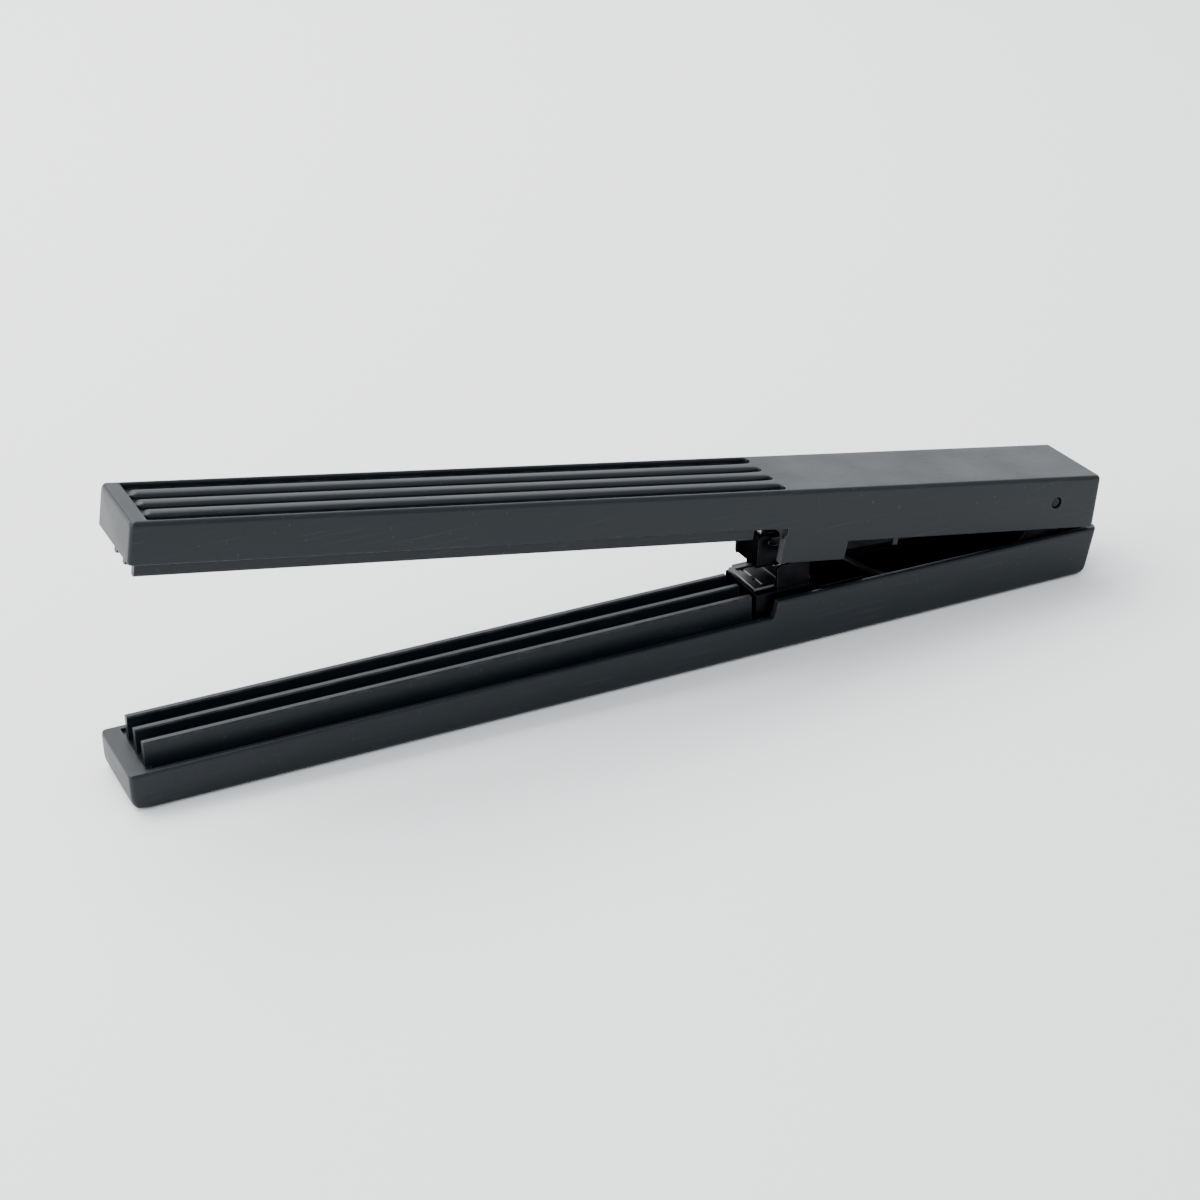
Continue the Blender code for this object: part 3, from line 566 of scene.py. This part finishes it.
def lug_gusset():
    """The web in the corner between the rim and the near lug's front edge, with a hollow curve."""
    outline = [(LUG_FRONT - GUSSET_REACH, UPPER_RIM + GUSSET_OVERLAP)]
    outline.append((LUG_FRONT - GUSSET_REACH, UPPER_RIM - 0.2))
    outline += arc((LUG_FRONT - GUSSET_CENTRE, UPPER_RIM - GUSSET_DROP), GUSSET_CURVE, 86, 8, 8)
    outline.append((LUG_FRONT + GUSSET_OVERLAP, UPPER_RIM - GUSSET_DROP))
    outline.append((LUG_FRONT + GUSSET_OVERLAP, UPPER_RIM + GUSSET_OVERLAP))
    return slab(outline, (-INNER_Y - 1.1, -INNER_Y - 0.1))


def lug_cuts():
    """A notch in front of the near lug, and the cut that shortens the far lug."""
    front = LUG_FRONT - 1.3
    notch = rounded_box(
        (front, -HALF_WIDTH - 1, -4.9),
        (LUG_FRONT + 0.35, -INNER_Y - 1.2, UPPER_RIM + 0.13),
        0.1,
        1,
    )
    shorter = rounded_box(
        (front, INNER_Y - 1, -20),
        (FAR_LUG_FRONT, HALF_WIDTH + 1, UPPER_RIM - 0.06),
        0.3,
        2,
    )
    return [notch, shorter]


def upper_arm():
    stations = [
        *round_stations(UPPER_LOW.x, FRONT_CORNER, 1, 10),
        *round_stations(UPPER_LOW.x, TOP_EDGE, 1, 5)[1:-1],
        *[GRIP_FRONT + DECK_FALL * i / 5 for i in range(6)],
        *round_stations(GRIP_FRONT + NOSE_START, NOSE_LENGTH, 1, 9),
        *both(UPPER_LOW.x + UPPER_END_WALL),
        *both(RIB_FRONT),
        *PLAIN_STATIONS,
        *both(RIB_REAR),
        *round_stations(GRIP_REAR, OUTER_GROOVE_HALF, -1, 7),
        *round_stations(GRIP_REAR, INNER_GROOVE_HALF, -1, 5)[1:],
        *both(GRIP_REAR),
        LUG_FRONT - LUG_CLEAR,
        LUG_FRONT + EVENT,
        *both(LUG_REAR),
        UPPER_HIGH.x - SLANT_RUN,
        *both(UPPER_HIGH.x - WALL - UPPER_REAR_SLANT),
        *round_stations(UPPER_HIGH.x, REAR_CORNER, -1, 8),
    ]
    skin = shell_skin(set(stations), upper_half, upper_slide)
    nub_low = (NUB_FRONT, -HALF_WIDTH + 0.5, NUB_FOOT)
    nub = rounded_box(nub_low, (NUB_REAR, -INNER_Y - 0.2, -7.0), 0.2)
    skin = combine(skin, "UNION", [lug_gusset(), nub])
    hole = rod("Y", (0, 0), PIN_HOLE, (-2 * HALF_WIDTH, 2 * HALF_WIDTH))
    skin = combine(skin, "DIFFERENCE", [*lug_cuts(), hole])
    piece("upper_arm_moulding", skin, "upper_arm", "black_plastic", "upper_arm_shell")


LOWER_RIM = -13.7
LOWER_WALL_TOP = -9.2
LOWER_WALL_TOP_REAR = -10.1
STEP_X = -82.3
STEP_RUN = 1.3
FLOOR_TOP = -20.9
DECK_LENGTH = 4.2
SHELF_LENGTH = 2.0
SHELF_TOP = -14.7
LOWER_RIB_TOP = -8.6
LOWER_FRONT_CORNER = 1.4
LOWER_HEEL = 2.8
LOWER_REAR_SLANT = 3.0
LIP_EDGE = 0.75
BOTTOM_EDGE = 1.3


def lower_rim(x):
    if x <= STEP_X - STEP_RUN:
        return LOWER_RIM
    if x <= STEP_X:
        return LOWER_RIM + (LOWER_WALL_TOP - LOWER_RIM) * (x - STEP_X + STEP_RUN) / STEP_RUN
    fall = LOWER_WALL_TOP_REAR - LOWER_WALL_TOP
    return LOWER_WALL_TOP + fall * (x - STEP_X) / (LOWER_HIGH.x - STEP_X)


def lower_half(x):
    front = x - LOWER_LOW.x
    rear = LOWER_HIGH.x - x
    half = HALF_WIDTH - inset(front, LOWER_FRONT_CORNER) - inset(rear, REAR_CORNER)
    rim = lower_rim(x) - inset(front, LIP_EDGE)
    bottom = LOWER_LOW.z + inset(front, LOWER_HEEL) + inset(rear, LOWER_HEEL)
    floor = rim
    if front > DECK_LENGTH:
        floor = SHELF_TOP
    if front > DECK_LENGTH + SHELF_LENGTH:
        floor = FLOOR_TOP
    if rear < WALL:
        floor = rim
    ribbed = RIB_FRONT < x < RIB_REAR
    scale = half / HALF_WIDTH
    points = [(y * scale, z) for y, z in ribs(floor, LOWER_RIB_TOP if ribbed else floor)]
    drop = rim - floor
    fillet = min(CAVITY_FILLET, drop / 2)
    inner = INNER_Y * scale
    points += arc((inner - fillet, floor + fillet), fillet, 270, 360, 3)
    edge = min(INNER_EDGE, drop / 2)
    points += arc((inner + edge, rim - edge), edge, 180, 90, 3)
    points += arc((half - LIP_EDGE, rim - LIP_EDGE), LIP_EDGE, 90, 0, 6)
    edge = min(BOTTOM_EDGE, half)
    points += arc((half - edge, bottom + edge), edge, 0, -90, 6)
    points.append((0.0, bottom))
    return points


def lower_slide(x, z):
    """The rear end leans forward towards its foot."""
    ramp_from = LOWER_HIGH.x - 3 * LOWER_REAR_SLANT
    if x < ramp_from:
        return 0.0
    ramp = (x - ramp_from) / (LOWER_HIGH.x - ramp_from)
    return -LOWER_REAR_SLANT * ramp * (LOWER_WALL_TOP_REAR - z) / (LOWER_WALL_TOP_REAR - LOWER_LOW.z)


def lower_arm():
    stations = [
        *round_stations(LOWER_LOW.x, LOWER_FRONT_CORNER, 1, 10),
        *round_stations(LOWER_LOW.x, LIP_EDGE, 1, 4)[1:-1],
        *both(LOWER_LOW.x + DECK_LENGTH),
        *both(RIB_FRONT),
        *both(LOWER_LOW.x + DECK_LENGTH + SHELF_LENGTH),
        *PLAIN_STATIONS,
        *both(RIB_REAR),
        STEP_X - STEP_RUN,
        STEP_X,
        LOWER_HIGH.x - 3 * LOWER_REAR_SLANT,
        *both(LOWER_HIGH.x - WALL),
        *round_stations(LOWER_HIGH.x, LOWER_HEEL, -1, 8),
    ]
    skin = shell_skin(set(stations), lower_half, lower_slide)
    piece("lower_arm_moulding", skin, "lower_arm", "black_plastic", "lower_arm_shell")


# ------------------------------------------------------------------ steel parts


FRAME_SHEET = 1.2
FRAME_BEND = 1.6
PIN_BORE = 1.6
MAGAZINE_SHEET = 0.6
MAGAZINE_BEND = 1.0
RAIL_BEND = 0.9
BLOCK_TOP = -8.3
EAR_INNER_Y = 7.0
EAR_OUTER_Y = 7.8
EAR_FRONT = -80.5
EAR_REAR = -71.2
POCKET_DEPTH = 0.42
FORMING_DEPTH = 0.78
ROD_Z = 0.4
ROD_BORE = 0.9
LEAF_THICKNESS = 0.5
SLOT_FRONT = -82.0
SLOT_REAR = -22.0
SLOT_RADIUS = 1.25
RIVET_SIDES = 28


def channel(x, half_width, bottom, top, sheet, bend, opens=1):
    """A folded sheet channel along X; opens is 1 for an open top and -1 for an open bottom."""
    inner = half_width - sheet
    inside_bend = max(bend - sheet, 0.05)
    near = arc((-half_width + bend, bend), bend, 180, 270, 5)
    far = arc((half_width - bend, bend), bend, 270, 360, 5)
    back = arc((inner - inside_bend, sheet + inside_bend), inside_bend, 0, -90, 5)
    home = arc((-inner + inside_bend, sheet + inside_bend), inside_bend, 270, 180, 5)
    height = top - bottom
    section = [(-half_width, height), *near, *far, (half_width, height), (inner, height), *back, *home]
    section.append((-inner, height))
    start = bottom if opens == 1 else top
    return loft([[(px, y, start + opens * z) for y, z in section] for px in x])


def stadium(x, z, radius, y):
    """A round-ended slot's solid between two values of x."""
    outline = arc((x[1] - radius, z), radius, -90, 90, 8) + arc((x[0] + radius, z), radius, 90, 270, 8)
    return slab(outline, y)


def lower_frame():
    low, high = local_box("lower_frame")
    body = channel((low.x, high.x), high.y, low.z, high.z, FRAME_SHEET, FRAME_BEND)
    side = [
        (low.x, low.z - 1),
        (high.x, low.z - 1),
        *arc((0, 0), high.z, 0, 180, 20),
        (-6.2, -6.0),
        *arc((-11.4, -11.2), 1.6, 0, -90, 4),
        (-52.6, -12.8),
        *arc((-57.4, -10.4), 1.4, 0, 90, 4),
        (low.x, -9.0),
    ]
    body = combine(body, "INTERSECT", [slab(side, (2 * low.y, 2 * high.y))])
    body = combine(body, "DIFFERENCE", [rod("Y", (0, 0), PIN_BORE, (2 * low.y, 2 * high.y))])
    # The frame is drawn near-black, partly as painted shade for the dark wedge between the arms.
    piece("hinge_frame", softened(body, 0.12), "lower_arm", "black_steel", "lower_frame")


def domed_head(x, y, z, radius, height, direction, shank_radius, shank_to):
    """A rivet along Z with a domed head standing on z; direction is 1 for a head that faces up."""
    profile = [(shank_radius, shank_to), (shank_radius, z), (radius, z)]
    for step in (15, 32, 50, 68):
        rise = math.radians(step)
        profile.append((radius * math.cos(rise), z + direction * height * math.sin(rise)))
    turns = [math.tau * i / RIVET_SIDES for i in range(RIVET_SIDES)]
    rings = []
    for size, level in profile:
        rings.append([(x + size * math.cos(turn), y + size * math.sin(turn), level) for turn in turns])
    return loft(rings)


def rivets():
    for number in (1, 2, 3):
        node = f"frame_rivet_{number}"
        low, high = local_box(node)
        centre = (low + high) / 2
        head = domed_head(centre.x, centre.y, high.z - 0.9, high.x - centre.x, 0.9, 1, 1.2, low.z)
        piece(f"floor_rivet_{number}", head, "lower_arm", "zinc_steel", node)
    low, high = local_box("jaw_spring_rivet")
    centre = (low + high) / 2
    head = domed_head(centre.x, centre.y, high.z - 0.8, high.x - centre.x, 0.8, 1, 1.0, low.z)
    piece("leaf_rivet_lower", head, "lower_arm", "zinc_steel", "jaw_spring_rivet")
    low, high = local_box("return_spring_rivet")
    centre = (low + high) / 2
    head = domed_head(centre.x, centre.y, low.z + 0.8, high.x - centre.x, 0.8, -1, 1.0, high.z)
    piece("leaf_rivet_upper", head, "upper_arm", "zinc_steel", "return_spring_rivet")
    for side in ("near", "far"):
        low, high = local_box(f"anvil_rivet_{side}")
        centre = (low + high) / 2
        shank = rod("Z", (centre.x, centre.y), high.x - centre.x, (low.z, high.z), 0.25, RIVET_SIDES)
        piece(f"anvil_stud_{side}", shank, "lower_arm", "spring_steel", f"anvil_rivet_{side}")


def stud_holes():
    """Cutters for the holes that the two studs stand in."""
    holes = []
    for name in ("anvil_rivet_near", "anvil_rivet_far"):
        low, high = local_box(name)
        centre = (low + high) / 2
        span = (low.z - 0.1, BLOCK_TOP + 3)
        holes.append(rod("Z", (centre.x, centre.y), high.x - centre.x + 0.1, span, 0.1, RIVET_SIDES))
    return holes


def anvil():
    low, high = local_box("anvil_block")
    ears = []
    for side in (-1, 1):
        y = sorted((side * EAR_INNER_Y, side * EAR_OUTER_Y))
        outline = [(EAR_FRONT, BLOCK_TOP - 0.6), (EAR_REAR, BLOCK_TOP - 0.6), (EAR_REAR, high.z - 1.2)]
        outline += arc((-72.4, high.z - 1.2), 1.2, 0, 90, 5)
        outline += arc((-79.0, high.z - 1.5), 1.5, 90, 180, 6)
        ears.append(softened(slab(outline, y), 0.12))
    block = combine(rounded_box(low, (high.x, high.y, BLOCK_TOP), 0.22), "UNION", ears)
    block = combine(block, "DIFFERENCE", stud_holes())
    # The block and its ears are drawn near-black as painted shade, so the pedestal under the magazine
    # reads as a dark recess.
    piece("anvil_base", block, "lower_arm", "black_steel", "anvil_block")
    low, high = local_box("anvil_plate")
    top = high.z
    plate = rounded_box(low, high, 0.22)
    pocket_low = (low.x + 1.1, low.y + 1.4, top - POCKET_DEPTH)
    pocket = rounded_box(pocket_low, (-78.2, high.y - 1.4, top + 2), 0.15)
    grooves = []
    for side in (-1, 1):
        y = sorted((side * 0.6, side * 5.0))
        grooves.append(rounded_box((-83.95, y[0], top - FORMING_DEPTH), (-82.65, y[1], top + 1), 0.3))
    plate = combine(plate, "DIFFERENCE", [pocket, *grooves, *stud_holes()])
    # The plate is drawn in a darker grey steel than its spring steel finish.
    piece("anvil", plate, "lower_arm", "spring_steel", "anvil_plate", look="dark_grey_steel")


def hinge():
    low, high = local_box("hinge_pin")
    pin = rod("Y", (0, 0), high.x, (low.y, high.y), 0.35, 48)
    piece("pin", pin, "lower_arm", "spring_steel", "hinge_pin", look="darkened_steel")
    for name in ("spacer_near", "spacer_far"):
        low, high = local_box(name)
        sleeve = rod("Y", (0, 0), high.x, (low.y, high.y), 0.2, 40)
        bore = rod("Y", (0, 0), PIN_BORE, (low.y - 1, high.y + 1), 0.1, 40)
        sleeve = combine(sleeve, "DIFFERENCE", [bore])
        piece(name.replace("spacer", "sleeve"), sleeve, "lower_arm", "zinc_steel", name)


def magazine():
    low, high = local_box("magazine_channel")
    body = channel((low.x, high.x), high.y, low.z, high.z, MAGAZINE_SHEET, MAGAZINE_BEND)
    top = 2.2
    side = [(low.x, low.z - 1), (-1.0, low.z - 1), *arc((0, 0), high.z, -20, 110, 16), (-5.0, top)]
    side += [(low.x + 0.8, top), (low.x, top - 0.8)]
    body = combine(body, "INTERSECT", [slab(side, (2 * low.y, 2 * high.y))])
    wide = (2 * low.y, 2 * high.y)
    tools = [
        rounded_box((low.x - 2, -high.y + 0.62, low.z - 2), (-82.5, high.y - 0.62, low.z + 0.9), 0.05, 1),
        stadium((SLOT_FRONT, SLOT_REAR), 0.0, SLOT_RADIUS, (2 * low.y, 0.0)),
        rod("Y", (0, 0), PIN_BORE, wide),
        rod("Y", (-10.4, -4.4), 0.85, wide, 0.1, 24),
    ]
    body = combine(body, "DIFFERENCE", tools)
    piece("magazine_body", softened(body, 0.1), "magazine", "black_steel", "magazine_channel")
    low, high = local_box("nose_plate")
    piece("magazine_nose", rounded_box(low, high, 0.18), "magazine", "black_steel", "nose_plate")
    low, high = local_box("staple_rail")
    rail = channel((low.x, high.x), high.y, low.z, high.z, MAGAZINE_SHEET, RAIL_BEND, -1)
    piece("rail", softened(rail, 0.1), "magazine", "zinc_steel", "staple_rail")


def staples():
    """The strip's wires, side by side, each with rounded shoulders and straight legs."""
    low, high = local_box("staple_strip")
    wire = 0.5
    bend = 0.45
    count = round((high.x - low.x) / wire)
    middle = wire / 2
    path = [(-high.y + middle, low.z)]
    path += arc((-high.y + middle + bend, high.z - middle - bend), bend, 180, 90, 5)
    path += arc((high.y - middle - bend, high.z - middle - bend), bend, 90, 0, 5)
    path.append((high.y - middle, low.z))
    bm = bmesh.new()
    for number in range(count):
        x = low.x + (number + 0.5) * wire
        rows = []
        for i, (y, z) in enumerate(path):
            before = Vector(path[max(i - 1, 0)])
            after = Vector(path[min(i + 1, len(path) - 1)])
            along = (after - before).normalized()
            out = Vector((-along.y, along.x))
            row = []
            for corner in range(8):
                turn = math.tau * (corner + 0.5) / 8
                across, up = middle * 0.94 * math.cos(turn), middle * 0.94 * math.sin(turn)
                row.append(bm.verts.new((x + across, y + out.x * up, z + out.y * up)))
            rows.append(row)
        for row, after_row in zip(rows, rows[1:]):
            for i in range(8):
                bm.faces.new((row[i - 1], row[i], after_row[i], after_row[i - 1]))
        bm.faces.new(rows[0])
        bm.faces.new(rows[-1])
    bmesh.ops.recalc_face_normals(bm, faces=bm.faces)
    piece("staples", mesh_of(bm), "magazine", "staple_wire", "staple_strip")


def rod_bore():
    return rod("X", (0, ROD_Z), ROD_BORE, (-90, 0), 0.1, 24)


def follower():
    low, high = local_box("rod_bridge")
    bridge = combine(rounded_box(low, high, 0.15), "DIFFERENCE", [rod_bore()])
    piece("bridge", bridge, "magazine", "zinc_steel", "rod_bridge")
    low, high = local_box("end_block")
    block = combine(rounded_box(low, high, 0.25), "DIFFERENCE", [rod_bore()])
    piece("rear_block", block, "magazine", "zinc_steel", "end_block")
    low, high = local_box("guide_rod")
    bar = rod("X", (0, ROD_Z), high.y, (low.x, high.x), 0.2, 24)
    piece("follower_rod", bar, "magazine", "spring_steel", "guide_rod")
    low, high = local_box("end_block_pin")
    centre = (low + high) / 2
    cross = rod("Y", (centre.x, centre.z), high.x - centre.x, (low.y, high.y), 0.15, 24)
    piece("block_pin", cross, "magazine", "spring_steel", "end_block_pin")
    low, high = local_box("pusher")
    body = rounded_box((low.x, -high.y, low.z), (high.x, high.y, high.z), 0.3)
    tab = rounded_box((low.x + 2.6, low.y, -0.9), (low.x + 5.6, -high.y + 1.0, 0.9), 0.3)
    body = combine(body, "UNION", [tab])
    saddle = rounded_box((low.x - 2, -high.y + 0.55, low.z - 2), (high.x + 2, high.y - 0.55, -1.7), 0.1, 1)
    bore = rod("X", (0, ROD_Z), 1.0, (low.x - 2, high.x + 2), 0.1, 24)
    body = combine(body, "DIFFERENCE", [saddle, bore])
    piece("follower", body, "pusher", "zinc_steel", "pusher")


def coil(start, end, radius, wire, turns, z):
    """A helical spring along X with closed end turns."""
    per_turn = 20
    count = turns * per_turn
    dead = 1.2
    path = []
    for i in range(count + 1):
        turn = turns * i / count
        live = min(max(turn - dead, 0.0), turns - 2 * dead) / (turns - 2 * dead)
        flat = 2 * wire * (min(turn, dead) + max(0.0, turn - turns + dead))
        x = start + flat + (end - start - 4 * wire * dead) * live
        angle = math.tau * turn
        path.append(Vector((x, radius * math.cos(angle), z + radius * math.sin(angle))))
    rings = []
    for i, spot in enumerate(path):
        along = (path[min(i + 1, count)] - path[max(i - 1, 0)]).normalized()
        out = Vector((0.0, spot.y, spot.z - z)).normalized()
        side = along.cross(out).normalized()
        ring = []
        for corner in range(8):
            turn = math.tau * corner / 8
            ring.append(spot + wire * (math.cos(turn) * out + math.sin(turn) * side))
        rings.append(ring)
    return loft(rings)


def leaf(path, thickness, half_width, nose, hole):
    """A bent strip along a path in the XZ plane, drawn in to nose at its free end, with a rivet hole."""
    rings = []
    last = len(path) - 1
    for i, spot in enumerate(path):
        along = (Vector(path[min(i + 1, last)]) - Vector(path[max(i - 1, 0)])).normalized()
        up = Vector((-along.y, along.x)) * thickness / 2
        share = max(0.0, (i / last - 0.75) / 0.25)
        width = half_width - (half_width - nose) * share ** 2
        above = Vector(spot) + up
        below = Vector(spot) - up
        rings.append([(above.x, -width, above.y), (above.x, width, above.y),
                      (below.x, width, below.y), (below.x, -width, below.y)])
    strip = combine(loft(rings), "DIFFERENCE", [hole])
    return softened(strip, 0.06, 2, 50)


def spline(points, steps):
    """A Catmull-Rom path through the points."""
    path = []
    for i in range(len(points) - 1):
        p0, p1 = Vector(points[max(i - 1, 0)]), Vector(points[i])
        p2, p3 = Vector(points[i + 1]), Vector(points[min(i + 2, len(points) - 1)])
        for step in range(steps):
            t = step / steps
            spot = 2 * p1 + (p2 - p0) * t + (2 * p0 - 5 * p1 + 4 * p2 - p3) * t ** 2
            spot += (3 * p1 - p0 - 3 * p2 + p3) * t ** 3
            path.append(spot / 2)
    path.append(Vector(points[-1]))
    return path


def springs():
    low, high = local_box("pusher_spring")
    start, end = low.x + 0.2, high.x - 0.2
    wound = coil(start, end, 1.3, 0.2, 20, ROD_Z)
    made = piece("coil_spring", wound, "magazine", "spring_steel", "pusher_spring")
    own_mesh(made)

    low, high = local_box("jaw_spring")
    seat = low.z + LEAF_THICKNESS / 2
    points = [(-18.0, seat), (-32.0, seat), (-43.0, -16.8), (-54.0, -9.8), (-62.0, -4.3), (-66.0, -5.2)]
    hole = rod("Z", (-24.0, 0), 1.1, (seat - 3, seat + 3), 0.1, 24)
    strip = leaf(spline(points, 8), LEAF_THICKNESS, high.y, 2.2, hole)
    # The leaf is drawn in the darker steel as painted shade, since it sits in the shaded wedge between the
    # arms.
    made = piece("lower_leaf", strip, "lower_arm", "spring_steel", "jaw_spring", look="darkened_steel")
    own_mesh(made)

    low, high = local_box("return_spring")
    seat = high.z - LEAF_THICKNESS / 2
    points = [(-15.0, seat), (-26.0, seat), (-40.0, 1.9), (-53.0, -2.4), (-62.0, -4.4), (-66.0, -3.6)]
    hole = rod("Z", (-20.0, 0), 1.1, (seat - 3, seat + 3), 0.1, 24)
    strip = leaf(spline(points, 8), LEAF_THICKNESS, high.y, 3.4, hole)
    # The upper leaf is likewise drawn in the darker steel as painted shade.
    made = piece("upper_leaf", strip, "upper_arm", "spring_steel", "return_spring", look="darkened_steel")
    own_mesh(made)


def driver():
    low, high = local_box("driver_holder")
    holder = rounded_box(low, high, 0.5)
    tip, heel = local_box("driver_blade")
    slot_low = (tip.x - 0.4, tip.y - 0.25, low.z - 2)
    slot = rounded_box(slot_low, (heel.x + 0.4, heel.y + 0.25, heel.z + 0.2), 0.1, 1)
    holder = combine(holder, "DIFFERENCE", [slot])
    piece("blade_block", holder, "upper_arm", "black_steel", "driver_holder")
    blade = frame["nodes"]["driver_blade"].data
    blade.materials.clear()
    blade.materials.append(FINISHES["spring_steel"])
    for side in ("near", "far"):
        low, high = local_box(f"driver_screw_{side}")
        centre = (low + high) / 2
        head = domed_head(centre.x, centre.y, low.z + 0.8, high.x - centre.x, 0.8, -1, 0.9, high.z)
        cross = []
        for along, across in ((1.0, 0.22), (0.22, 1.0)):
            arm_low = (centre.x - along, centre.y - across, low.z - 1)
            arm_high = (centre.x + along, centre.y + across, low.z + 0.45)
            cross.append(rounded_box(arm_low, arm_high, 0.05, 1))
        head = combine(head, "DIFFERENCE", cross)
        piece(f"block_screw_{side}", head, "upper_arm", "zinc_steel", f"driver_screw_{side}")


upper_arm()
lower_arm()
lower_frame()
rivets()
anvil()
hinge()
magazine()
staples()
follower()
springs()
driver()


# ------------------------------------------------------------------ stage, light and camera


FLOOR_SIZE = 6.0
FLOOR_GAP = 0.0001
FLOOR_WHITE = 0.96
SKY_COLOUR = (0.92, 0.96, 1.0, 1)
SKY_STRENGTH = 1.25
LENS = 72
SENSOR_WIDTH = 36
CAMERA_PLACE = (-0.2339, -0.4661, 0.2877)
CAMERA_LOOK = (0.3859, 0.7993, -0.4607)
CAMERA_UP = (0.2115, 0.4094, 0.8875)


def floor():
    bm = bmesh.new()
    bmesh.ops.create_grid(bm, x_segments=2, y_segments=2, size=FLOOR_SIZE)
    made = bpy.data.objects.new("floor", mesh_of(bm))
    made.location = (0, 0, -FLOOR_GAP)
    bpy.context.scene.collection.objects.link(made)
    paint = bpy.data.materials.new("floor_paint")
    paint.use_nodes = True
    shader = paint.node_tree.nodes["Principled BSDF"]
    shader.inputs["Base Color"].default_value = (FLOOR_WHITE, FLOOR_WHITE, FLOOR_WHITE, 1)
    shader.inputs["Roughness"].default_value = 0.8
    made.data.materials.append(paint)


def softbox(name, spot, aim, size, power):
    light = bpy.data.lights.new(name, "AREA")
    light.shape = "RECTANGLE"
    light.size, light.size_y = size
    light.energy = power
    made = bpy.data.objects.new(name, light)
    made.location = spot
    made.rotation_mode = "QUATERNION"
    made.rotation_quaternion = (Vector(aim) - Vector(spot)).to_track_quat("-Z", "Y")
    bpy.context.scene.collection.objects.link(made)


def lights():
    world = bpy.data.worlds.new("studio")
    world.use_nodes = True
    sky = world.node_tree.nodes["Background"]
    sky.inputs["Color"].default_value = SKY_COLOUR
    sky.inputs["Strength"].default_value = SKY_STRENGTH
    bpy.context.scene.world = world
    softbox("overhead", (-0.35, 0.75, 1.15), (0, 0, 0.03), (1.4, 0.9), 30)
    softbox("left", (-1.2, 0.1, 0.55), (-0.1, 0, 0.03), (0.7, 0.7), 10)
    softbox("behind", (1.0, 1.6, 0.75), (0, 0, 0.05), (1.8, 0.9), 6.5)
    softbox("behind_left", (-1.1, 1.6, 0.45), (-0.12, 0, 0.05), (0.9, 0.7), 8)


def camera():
    data = bpy.data.cameras.new("camera")
    data.lens = LENS
    data.sensor_width = SENSOR_WIDTH
    data.clip_start = 0.01
    made = bpy.data.objects.new("camera", data)
    look = Vector(CAMERA_LOOK).normalized()
    right = look.cross(Vector(CAMERA_UP)).normalized()
    up = right.cross(look)
    turn = Matrix((right, up, -look)).transposed().to_4x4()
    made.matrix_world = Matrix.Translation(CAMERA_PLACE) @ turn
    bpy.context.scene.collection.objects.link(made)
    bpy.context.scene.camera = made


floor()
lights()
camera()
